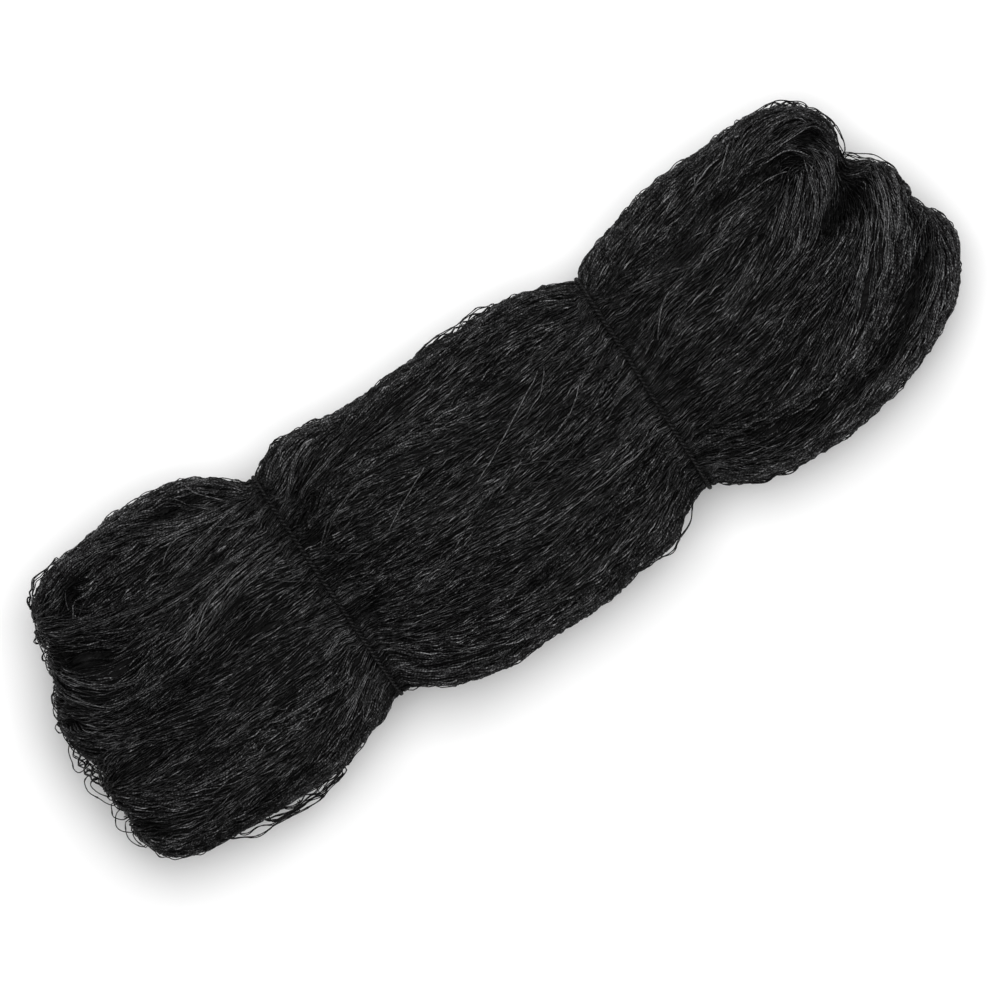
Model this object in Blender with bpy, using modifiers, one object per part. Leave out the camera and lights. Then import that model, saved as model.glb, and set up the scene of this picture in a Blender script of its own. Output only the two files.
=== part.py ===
"""Bird netting: a knotted net gathered into a rope, flaked into a hank and tied round twice.

The hank lies flat along X with three lobes, one on each side of a tie and one between
the two.  The upper layer is a set of flaked passes, thick bundles of gathered mesh that
turn round at the ends of the hank, and the rest of the net is one packed body under them.
"""

import math
from collections import namedtuple

import bmesh
import bpy
from mathutils import Vector

MM = 0.001

# Driving sizes, in millimetres.
LEFT_TIE_X = -157.5
RIGHT_TIE_X = 133.0
LEFT_TIE_YAW = math.radians(0.0)
RIGHT_TIE_YAW = math.radians(1.6)
TIE_DIAMETER = 3.8
CLEARANCE = 0.35

HANK_MIDDLE = (1.5, 5.0)

NECK_MID_Z = 62.0
NECK_REACH = 26.0
NECK_WIDTH_SHARE = 0.80
NECK_HEIGHT_SHARE = 0.66
END_SLOPE_START = 270.0
END_SLOPE_LENGTH = 130.0
END_DROP = 13.0

RING_POINTS = 36
SECTION_POWER = 2.3
STATION_SPACING = 9.0
VOXEL = 5.0
SMOOTH_STEPS = 7
NET_TRIANGLE_SHARE = 0.125
TIE_SIDES = 90
TIE_BAND_SHARE = 0.6

# The packed body: a row for each section along X, with its edges in Y and Z.
Section = namedtuple("Section", "x low high bottom top")
BODY_SECTIONS = (
    Section(-390, -78, -8, 40, 72),
    Section(-383, -93, 18, 20, 88),
    Section(-367, -106, 64, 5, 100),
    Section(-342, -115, 112, -3, 106),
    Section(-300, -120, 130, -5, 114),
    Section(-255, -123, 137, -5, 122),
    Section(-215, -117, 131, -4, 121),
    Section(-182, -104, 114, 3, 112),
    Section(-158, -89, 95, 14, 98),
    Section(-138, -99, 112, 4, 109),
    Section(-105, -117, 113, -4, 121),
    Section(-55, -129, 106, -5, 126),
    Section(0, -128, 107, -5, 127),
    Section(55, -123, 110, -5, 125),
    Section(95, -113, 104, -3, 118),
    Section(118, -98, 92, 5, 107),
    Section(133, -91, 84, 14, 98),
    Section(150, -110, 97, 4, 107),
    Section(190, -125, 106, -4, 118),
    Section(240, -126, 113, -5, 119),
    Section(290, -117, 113, -5, 113),
    Section(332, -101, 105, -4, 105),
    Section(360, -86, 66, 3, 98),
    Section(378, -78, 30, 16, 88),
    Section(392, -58, 2, 36, 70),
)

# The upper passes: a row for each, with its half width, half height and height of its
# middle in a lobe, and its route in plan.  A pass that turns round comes back on itself.
Pass = namedtuple("Pass", "name half_width half_height mid_z route")
PASSES = (
    Pass("right_upper_turn", 24, 40, 82,
         ((134, 60), (162, 75), (205, 88), (255, 95), (300, 95), (332, 91), (347, 70), (336, 46),
          (302, 29), (255, 17), (200, 7), (134, 2))),
    Pass("right_inner", 20, 36, 80,
         ((134, 24), (190, 32), (240, 40), (285, 50), (308, 58))),
    Pass("right_fan_upper", 20, 38, 88,
         ((134, -24), (185, -34), (235, -30), (285, -12), (325, 8), (350, 30))),
    Pass("right_fan_lower", 25, 38, 90,
         ((134, -50), (185, -66), (240, -72), (290, -58), (334, -28), (362, 0), (373, 16))),
    Pass("right_lower", 20, 38, 70,
         ((382, -24), (378, -44), (360, -67), (328, -90), (290, -104), (240, -111), (200, -111),
          (160, -99), (134, -77))),
    Pass("middle_upper", 30, 37, 82,
         ((-158, 66), (-134, 84), (-96, 86), (-45, 79), (10, 82), (65, 84), (103, 74), (132, 58))),
    Pass("middle_rising", 27, 37, 94,
         ((-158, 24), (-125, 42), (-70, 48), (0, 46), (70, 56), (132, 40))),
    Pass("middle_centre", 30, 36, 98,
         ((-158, -6), (-100, 8), (-30, 4), (45, 20), (132, 8))),
    Pass("middle_fourth", 29, 37, 96,
         ((-158, -32), (-105, -38), (-30, -40), (45, -34), (132, -22))),
    Pass("middle_crossing", 24, 36, 93,
         ((-158, -50), (-112, -70), (-50, -76), (20, -66), (80, -54), (132, -44))),
    Pass("middle_lower", 28, 38, 78,
         ((-158, -62), (-118, -86), (-75, -101), (-20, -101), (40, -101), (85, -93), (132, -66))),
    Pass("left_upper_turn", 21, 37, 84,
         ((-158, 74), (-180, 92), (-212, 114), (-258, 121), (-305, 118), (-334, 114), (-350, 97),
          (-337, 79), (-292, 68), (-240, 58), (-158, 44))),
    Pass("left_second", 19, 38, 86,
         ((-358, 68), (-361, 44), (-340, 26), (-302, 26), (-260, 36), (-215, 34), (-158, 22))),
    Pass("left_third", 27, 37, 88,
         ((-370, 34), (-367, 10), (-348, -8), (-305, -14), (-250, -6), (-158, -4))),
    Pass("left_fourth", 32, 37, 90,
         ((-368, -22), (-358, -42), (-325, -51), (-268, -48), (-215, -43), (-158, -32))),
    Pass("left_lower", 31, 37, 76,
         ((-371, -61), (-359, -81), (-324, -90), (-270, -91), (-215, -87), (-180, -77), (-158, -62))),
)

# Base colour, roughness and metallic value of each material.
NET_LOOK = ((0.012, 0.012, 0.013), 0.55, 0.0)
TIE_LOOK = ((0.016, 0.016, 0.017), 0.50, 0.0)


def clear_scene():
    """Remove every object that is in the scene."""
    for obj in list(bpy.data.objects):
        bpy.data.objects.remove(obj, do_unlink=True)


def new_collection(name):
    """A new collection in the scene."""
    collection = bpy.data.collections.new(name)
    bpy.context.scene.collection.children.link(collection)
    return collection


def new_material(name, look):
    """A Principled material with a colour, a roughness and a metallic value."""
    colour, roughness, metallic = look
    material = bpy.data.materials.new(name)
    material.use_nodes = True
    shader = material.node_tree.nodes["Principled BSDF"]
    shader.inputs["Base Color"].default_value = (*colour, 1.0)
    shader.inputs["Roughness"].default_value = roughness
    shader.inputs["Metallic"].default_value = metallic
    return material


def superellipse(angle, power):
    """The point at an angle on a unit superellipse."""
    across, up = math.cos(angle), math.sin(angle)
    share = 2.0 / power
    return (math.copysign(abs(across) ** share, across), math.copysign(abs(up) ** share, up))


def smooth_route(points, spacing):
    """Points a spacing apart along a smooth curve through the points given."""
    control = [Vector(p) for p in points]
    before = 2 * control[0] - control[1]
    after = 2 * control[-1] - control[-2]
    padded = [before, *control, after]
    route = []
    for i in range(1, len(padded) - 2):
        p0, p1, p2, p3 = padded[i - 1:i + 3]
        steps = max(2, round((p2 - p1).length / spacing))
        for k in range(steps):
            t = k / steps
            route.append(0.5 * (2 * p1 + (p2 - p0) * t + (2 * p0 - 5 * p1 + 4 * p2 - p3) * t ** 2
                                + (3 * p1 - p0 - 3 * p2 + p3) * t ** 3))
    route.append(control[-1])
    return route


def neck_share(x):
    """How far a place along X is drawn in by the nearer tie, from 0 in a lobe to 1 at the tie."""
    distance = min(abs(x - LEFT_TIE_X), abs(x - RIGHT_TIE_X))
    return math.exp(-(distance / NECK_REACH) ** 2)


def end_drop(x):
    """How far a pass sinks where it nears an end of the hank."""
    share = min(max((abs(x) - END_SLOPE_START) / END_SLOPE_LENGTH, 0.0), 1.0)
    return END_DROP * share * share * (3 - 2 * share)


def add_loft(mesh, rings):
    """Add a closed loft through rings of equal point counts, with a cap at each end."""
    rows = [[mesh.verts.new(point) for point in ring] for ring in rings]
    count = len(rows[0])
    for first, second in zip(rows, rows[1:]):
        for i in range(count):
            j = (i + 1) % count
            mesh.faces.new((first[i], first[j], second[j], second[i]))
    mesh.faces.new(list(reversed(rows[0])))
    mesh.faces.new(rows[-1])


def body_rings():
    """The rings of the packed body, one at each station along a smooth curve."""
    columns = [Vector(row) for row in BODY_SECTIONS]
    stations = []
    for index, row in enumerate(columns[:-1]):
        before = columns[max(index - 1, 0)]
        after = columns[min(index + 2, len(columns) - 1)]
        following = columns[index + 1]
        steps = max(1, round((following[0] - row[0]) / STATION_SPACING))
        for k in range(steps):
            t = k / steps
            blend = t * t * (3 - 2 * t)
            straight = row.lerp(following, t)
            bend = (row - before) * (t - 2 * t ** 2 + t ** 3) + (after - following) * (t ** 3 - t ** 2)
            eased = row.lerp(following, blend) + 0.5 * bend
            eased[0] = straight[0]
            stations.append(eased)
    stations.append(columns[-1])
    rings = []
    for x, low, high, bottom, top in stations:
        ring = []
        for i in range(RING_POINTS):
            across, up = superellipse(2 * math.pi * i / RING_POINTS, SECTION_POWER)
            y = (low + high) / 2 + (high - low) / 2 * across
            z = (bottom + top) / 2 + (top - bottom) / 2 * up
            ring.append(Vector((x, y, z)) * MM)
        rings.append(ring)
    return rings


def pass_rings(row):
    """The rings of one pass, squeezed and drawn to the neck's middle where a tie holds it."""
    route = smooth_route([(x, y, 0) for x, y in row.route], STATION_SPACING)
    rings = []
    last = len(route) - 1
    for index, centre in enumerate(route):
        ahead = route[min(index + 1, last)] - route[max(index - 1, 0)]
        side = Vector((-ahead.y, ahead.x, 0)).normalized()
        drawn = neck_share(centre.x)
        width = row.half_width * (1 - drawn * (1 - NECK_WIDTH_SHARE))
        height = row.half_height * (1 - drawn * (1 - NECK_HEIGHT_SHARE))
        mid_z = row.mid_z + drawn * NECK_HEIGHT_SHARE * (NECK_MID_Z - row.mid_z) - end_drop(centre.x)
        ring = []
        for i in range(RING_POINTS // 2):
            angle = 4 * math.pi * i / RING_POINTS
            offset = side * (width * math.cos(angle)) + Vector((0, 0, height * math.sin(angle)))
            ring.append((centre + offset + Vector((0, 0, mid_z))) * MM)
        rings.append(ring)
    return rings


def round_ends(rings):
    """Rings with two smaller ones past each end, so that a bundle ends round."""
    def closing(ring, neighbour):
        middle = sum(ring, Vector()) / len(ring)
        inner = sum(neighbour, Vector()) / len(neighbour)
        outward = (middle - inner).normalized()
        reach = max((point - middle).length for point in ring) * 0.5
        rounded = []
        for share, out in ((0.82, 0.5), (0.42, 0.85)):
            rounded.append([middle + (point - middle) * share + outward * reach * out for point in ring])
        return rounded
    head = closing(rings[0], rings[1])
    tail = closing(rings[-1], rings[-2])
    return [*reversed(head), *rings, *tail]


def build_net(collection, cutters, material):
    """The hank as one solid: its packed body and passes made one, smoothed, cut flat below."""
    shape = bmesh.new()
    add_loft(shape, body_rings())
    for row in PASSES:
        add_loft(shape, round_ends(pass_rings(row)))
    bmesh.ops.recalc_face_normals(shape, faces=shape.faces)
    mesh = bpy.data.meshes.new("net_hank")
    shape.to_mesh(mesh)
    shape.free()
    net = bpy.data.objects.new("net_hank", mesh)
    collection.objects.link(net)
    mesh.materials.append(material)

    remesh = net.modifiers.new("one_skin", "REMESH")
    remesh.mode = "VOXEL"
    remesh.voxel_size = VOXEL * MM
    smooth = net.modifiers.new("settle", "SMOOTH")
    smooth.factor = 0.5
    smooth.iterations = SMOOTH_STEPS
    thin = net.modifiers.new("thin_out", "DECIMATE")
    thin.ratio = NET_TRIANGLE_SHARE
    cut = net.modifiers.new("rest_flat", "BOOLEAN")
    cut.operation = "DIFFERENCE"
    cut.object = floor_cutter(cutters)
    return net


def floor_cutter(cutters):
    """A block whose top is the surface that the hank lies on."""
    bpy.ops.mesh.primitive_cube_add(size=1.0, location=(0, 0, -50 * MM))
    block = bpy.context.active_object
    block.name = "floor_cutter"
    block.scale = (1.2, 0.6, 0.1)
    block.hide_render = True
    block.display_type = "WIRE"
    for owner in list(block.users_collection):
        owner.objects.unlink(block)
    cutters.objects.link(block)
    return block


def edges_within(obj, centre, along, across, half_width):
    """The ends, as across and up, of each edge part within a half width of an upright plane."""
    mesh = obj.evaluated_get(bpy.context.evaluated_depsgraph_get()).to_mesh()
    places = []
    for vertex in mesh.vertices:
        offset = vertex.co - centre
        places.append(Vector((offset.dot(along), offset.dot(across), offset.z)))
    ends = []
    for edge in mesh.edges:
        first, second = sorted((places[i] for i in edge.vertices), key=lambda place: place.x)
        if second.x < -half_width or first.x > half_width:
            continue
        run = max(second.x - first.x, 1e-9)
        for limit in (-half_width, half_width):
            share = min(max((limit - first.x) / run, 0.0), 1.0)
            place = first.lerp(second, share)
            ends.append((place.y, place.z))
    return ends


def taut_ring(net, centre, yaw, diameter):
    """A closed line that lies taut round a neck, half a cord and the clearance off it."""
    across = Vector((math.sin(yaw), math.cos(yaw), 0))
    along = Vector((math.cos(yaw), -math.sin(yaw), 0))
    up = Vector((0, 0, 1))
    touched = edges_within(net, centre, along, across, diameter * TIE_BAND_SHARE)
    off = diameter / 2 + CLEARANCE * MM
    turn = 2 * math.pi / TIE_SIDES
    ring = []
    for k in range(TIE_SIDES):
        first, second = k * turn, (k + 1) * turn
        reach_1 = max(a * math.cos(first) + u * math.sin(first) for a, u in touched) + off
        reach_2 = max(a * math.cos(second) + u * math.sin(second) for a, u in touched) + off
        a = (reach_1 * math.sin(second) - reach_2 * math.sin(first)) / math.sin(turn)
        u = (reach_2 * math.cos(first) - reach_1 * math.cos(second)) / math.sin(turn)
        corner = centre + across * a + up * u
        if not ring or min((corner - ring[-1]).length, (corner - ring[0]).length) > diameter:
            ring.append(corner)
    return ring


def build_tie(name, collection, material, ring):
    """One tie cord: a closed round cord along a ring of points."""
    curve = bpy.data.curves.new(name, "CURVE")
    curve.dimensions = "3D"
    curve.bevel_depth = TIE_DIAMETER * MM / 2
    curve.bevel_resolution = 2
    spline = curve.splines.new("POLY")
    spline.points.add(len(ring) - 1)
    for point, place in zip(spline.points, ring):
        point.co = (*place, 1.0)
    spline.use_cyclic_u = True
    curve.materials.append(material)
    tie = bpy.data.objects.new(name, curve)
    collection.objects.link(tie)
    return tie


def main():
    """Build the hank and its two ties."""
    clear_scene()
    collection = new_collection("bird_netting")
    cutters = new_collection("cutters")
    net = build_net(collection, cutters, new_material("net_twine", NET_LOOK))
    bpy.context.view_layer.update()
    tie_material = new_material("tie_twine", TIE_LOOK)
    for name, x, yaw in (("tie_left", LEFT_TIE_X, LEFT_TIE_YAW), ("tie_right", RIGHT_TIE_X, RIGHT_TIE_YAW)):
        centre = Vector((x, 0, NECK_MID_Z)) * MM
        build_tie(name, collection, tie_material, taut_ring(net, centre, yaw, TIE_DIAMETER * MM))
    for obj in collection.objects:
        obj.location = (-HANK_MIDDLE[0] * MM, -HANK_MIDDLE[1] * MM, 0)


main()
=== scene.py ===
"""Bird netting, dressed: the twine, knots and loose meshes of a flaked and tied hank."""

from __future__ import annotations

import logging
import math
from dataclasses import dataclass, field
from enum import Enum

import bmesh
import bpy
import numpy as np
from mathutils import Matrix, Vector
from mathutils.bvhtree import BVHTree
from mathutils.kdtree import KDTree


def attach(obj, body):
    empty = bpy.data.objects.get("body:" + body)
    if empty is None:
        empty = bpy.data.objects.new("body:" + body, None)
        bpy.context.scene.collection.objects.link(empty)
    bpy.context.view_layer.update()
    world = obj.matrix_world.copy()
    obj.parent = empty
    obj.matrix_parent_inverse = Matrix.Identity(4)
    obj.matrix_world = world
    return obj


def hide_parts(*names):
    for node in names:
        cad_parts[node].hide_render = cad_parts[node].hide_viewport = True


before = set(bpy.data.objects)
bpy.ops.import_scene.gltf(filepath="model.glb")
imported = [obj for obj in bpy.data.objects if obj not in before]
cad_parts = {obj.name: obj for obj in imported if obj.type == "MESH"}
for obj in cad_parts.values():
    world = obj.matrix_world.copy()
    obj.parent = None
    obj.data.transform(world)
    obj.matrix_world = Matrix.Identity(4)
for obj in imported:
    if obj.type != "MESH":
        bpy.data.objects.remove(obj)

LOG = logging.getLogger("bird_netting")
MM = 0.001
TWINE_SLOT = "net_twine"
BAKE_MAP = "OFBake"
PIECE_TRIANGLES = 190_000

# Plan positions below are in millimetres from the point where the hank was laid out,
# which lies here in the frame's own plan.
LAYOUT_POINT = (-1.5, -5.0)

Route = tuple[tuple[float, float], ...]


# ---------------------------------------------------------------------------
# Shader nodes
# ---------------------------------------------------------------------------


class Value:
    """A number that varies over a surface: a shader socket with the usual operators."""

    def __init__(self, sheet: NodeSheet, socket: bpy.types.NodeSocket) -> None:
        """Wrap a socket of a sheet's node tree.

        Args:
            sheet: the node sheet that the socket is on.
            socket: the output socket that carries the number.
        """
        self.sheet = sheet
        self.socket = socket

    def _math(self, operation: str, *values: Value | float) -> Value:
        """Add one Math node.

        Args:
            operation: the Math node's operation.
            values: its inputs, in order.

        Returns:
            The node's result.
        """
        node = self.sheet.node("ShaderNodeMath", {"operation": operation}, dict(enumerate(values)))
        return Value(self.sheet, node.outputs[0])

    def __add__(self, other: Value | float) -> Value:
        """The sum."""
        return self._math("ADD", self, other)

    def __sub__(self, other: Value | float) -> Value:
        """The difference."""
        return self._math("SUBTRACT", self, other)

    def __mul__(self, other: Value | float) -> Value:
        """The product."""
        return self._math("MULTIPLY", self, other)

    def fraction(self) -> Value:
        """The part after the decimal point."""
        return self._math("FRACT", self)

    def sine(self) -> Value:
        """The sine, of an angle in radians."""
        return self._math("SINE", self)


class NodeSheet:
    """The node tree of one material, with its Principled shader."""

    def __init__(self, name: str) -> None:
        """Start a material.

        Args:
            name: the material's name.
        """
        self.material = bpy.data.materials.new(name)
        self.material.use_nodes = True
        self.tree = self.material.node_tree
        self.shader = self.tree.nodes["Principled BSDF"]

    def node(self, kind: str, settings: dict | None = None, values: dict | None = None) -> bpy.types.Node:
        """Add a node, set it up and feed its sockets.

        Args:
            kind: the node's type.
            settings: attributes to set first.
            values: numbers, tuples or links for its inputs, by name or number.

        Returns:
            The node.
        """
        node = self.tree.nodes.new(kind)
        for name, setting in (settings or {}).items():
            if name == "stops":
                self._set_stops(node.color_ramp, setting)
            else:
                setattr(node, name, setting)
        for key, value in (values or {}).items():
            self.feed(node.inputs[key], value)
        return node

    @staticmethod
    def _set_stops(ramp: bpy.types.ColorRamp, stops: tuple) -> None:
        """Set a colour ramp's stops.

        Args:
            ramp: the ramp, which starts with two stops.
            stops: pairs of a position and a colour, two or more.
        """
        while len(ramp.elements) < len(stops):
            ramp.elements.new(0.5)
        for element, (position, colour) in zip(ramp.elements, stops):
            element.position = position
            element.color = (*colour, 1.0)

    def feed(self, socket: bpy.types.NodeSocket, value: object) -> None:
        """Give a socket a link or a constant.

        Args:
            socket: the input socket.
            value: a Value, an output socket, a number or a tuple.
        """
        if isinstance(value, Value):
            self.tree.links.new(value.socket, socket)
        elif isinstance(value, bpy.types.NodeSocket):
            self.tree.links.new(value, socket)
        else:
            socket.default_value = value

    def attribute(self, name: str) -> Value:
        """A number stored on the mesh.

        Args:
            name: the attribute's name.

        Returns:
            Its value.
        """
        node = self.node("ShaderNodeAttribute", {"attribute_name": name})
        return Value(self, node.outputs["Fac"])

    def noise(self, scale: float, detail: float, vector: bpy.types.NodeSocket) -> Value:
        """A noise field.

        Args:
            scale: how many features a unit of the vector holds.
            detail: how many finer octaves it has.
            vector: where it is read.

        Returns:
            The noise, about 0 to 1.
        """
        node = self.node("ShaderNodeTexNoise", {}, {"Vector": vector, "Scale": scale, "Detail": detail})
        return Value(self, node.outputs["Fac"])

    def ramp(self, value: Value, stops: tuple) -> bpy.types.NodeSocket:
        """A colour read from a ramp.

        Args:
            value: where on the ramp, 0 to 1.
            stops: pairs of a position and a colour.

        Returns:
            The colour socket.
        """
        node = self.node("ShaderNodeValToRGB", {"stops": stops}, {"Fac": value})
        return node.outputs["Color"]

    def bump(self, height: Value, strength: float, distance: float) -> bpy.types.NodeSocket:
        """A bump.

        Args:
            height: the height field, 0 to 1.
            strength: the share of it that shows.
            distance: the depth of a height of 1, in metres.

        Returns:
            The normal socket.
        """
        values = {"Height": height, "Strength": strength, "Distance": distance}
        return self.node("ShaderNodeBump", {}, values).outputs["Normal"]


PAINTED_GLINTS_PER_MM = 0.5
PATCHES_PER_M = 45.0


@dataclass(frozen=True)
class TwineFinish:
    """Black twisted polyethylene twine, with painted glints in its colour where its twist catches the light.
    """

    name: str
    greys: tuple[tuple[float, float], ...]
    roughness: float
    specular: float
    lay_mm: float
    bump_depth_mm: float
    painted_glint: float

    def material(self, strand_count: int) -> bpy.types.Material:
        """Build the material.

        Args:
            strand_count: how many strands share the bake map, side by side.

        Returns:
            The material.
        """
        sheet = NodeSheet(self.name)
        shader = sheet.shader
        uv = sheet.node("ShaderNodeUVMap", {"uv_map": BAKE_MAP})
        parts = sheet.node("ShaderNodeSeparateXYZ", {}, {0: uv.outputs["UV"]})
        slot = Value(sheet, parts.outputs[0]) * strand_count
        run = sheet.attribute("run_mm")
        # The lay wave and the random flecks lighten the colour where the twist catches the light: painted
        # glints. The lay wave also feeds the bump.
        lay = ((run * (1.0 / self.lay_mm) + slot.fraction()) * (2 * math.pi)).sine()
        spot = sheet.node("ShaderNodeCombineXYZ", {}, {0: run * PAINTED_GLINTS_PER_MM, 1: slot * 3.0})
        painted_glint = sheet.noise(1.0, 2.0, spot.outputs[0]) - 0.5
        place = sheet.node("ShaderNodeTexCoord").outputs["Object"]
        patch = sheet.noise(PATCHES_PER_M, 3.0, place) - 0.5
        tone = sheet.attribute("tone") + patch * 0.3 + painted_glint * self.painted_glint + lay * 0.10
        stops = tuple((position, (grey, grey, grey * 1.02)) for position, grey in self.greys)
        sheet.feed(shader.inputs["Base Color"], sheet.ramp(tone, stops))
        sheet.feed(shader.inputs["Roughness"], patch * 0.2 + self.roughness)
        sheet.feed(shader.inputs["Normal"], sheet.bump(lay * 0.5 + 0.5, 0.6, self.bump_depth_mm * MM))
        shader.inputs["Specular IOR Level"].default_value = self.specular
        return sheet.material


@dataclass(frozen=True)
class PackedFinish:
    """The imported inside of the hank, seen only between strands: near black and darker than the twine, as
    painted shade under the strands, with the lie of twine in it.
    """

    name: str
    darkest: tuple[float, float, float]
    lightest: tuple[float, float, float]
    roughness: float

    def material(self) -> bpy.types.Material:
        """Build the material.

        Returns:
            The material.
        """
        sheet = NodeSheet(self.name)
        shader = sheet.shader
        place = sheet.node("ShaderNodeTexCoord").outputs["Object"]
        along = sheet.node("ShaderNodeMapping", {}, {"Vector": place, "Scale": (40.0, 420.0, 420.0)})
        strands = sheet.noise(1.0, 3.0, along.outputs["Vector"])
        stops = ((0.3, self.darkest), (0.8, self.lightest))
        sheet.feed(shader.inputs["Base Color"], sheet.ramp(strands, stops))
        sheet.feed(shader.inputs["Normal"], sheet.bump(strands, 0.9, 1.5 * MM))
        shader.inputs["Roughness"].default_value = self.roughness
        shader.inputs["Specular IOR Level"].default_value = 0.03
        return sheet.material


@dataclass(frozen=True)
class FloorFinish:
    """A plain pale studio floor."""

    name: str
    colour: tuple[float, float, float]

    def material(self) -> bpy.types.Material:
        """Build the material.

        Returns:
            The material.
        """
        sheet = NodeSheet(self.name)
        sheet.shader.inputs["Base Color"].default_value = (*self.colour, 1.0)
        sheet.shader.inputs["Roughness"].default_value = 0.9
        sheet.shader.inputs["Specular IOR Level"].default_value = 0.1
        return sheet.material


TWINE_GREYS = ((0.0, 0.0006), (0.25, 0.0042), (0.5, 0.0205), (0.75, 0.072), (1.0, 0.22))
NET_TWINE = TwineFinish("net_twine_black", TWINE_GREYS, 0.52, 0.08, 2.4, 0.14, 1.5)
DEEP_TWINE = TwineFinish("net_twine_deep", TWINE_GREYS, 0.6, 0.06, 2.4, 0.14, 1.4)
TIE_TWINE = TwineFinish("tie_twine_black", TWINE_GREYS, 0.5, 0.12, 1.6, 0.12, 0.9)
# The core is kept darker than the twine: painted shade between the strands.
PACKED_NET_SHADE = PackedFinish("packed_net_painted_shade", (0.002, 0.002, 0.002), (0.012, 0.012, 0.012), 0.9)
PALE_FLOOR = FloorFinish("pale_floor", (0.95, 0.95, 0.95))


# ---------------------------------------------------------------------------
# How the strands lie
# ---------------------------------------------------------------------------

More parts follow.
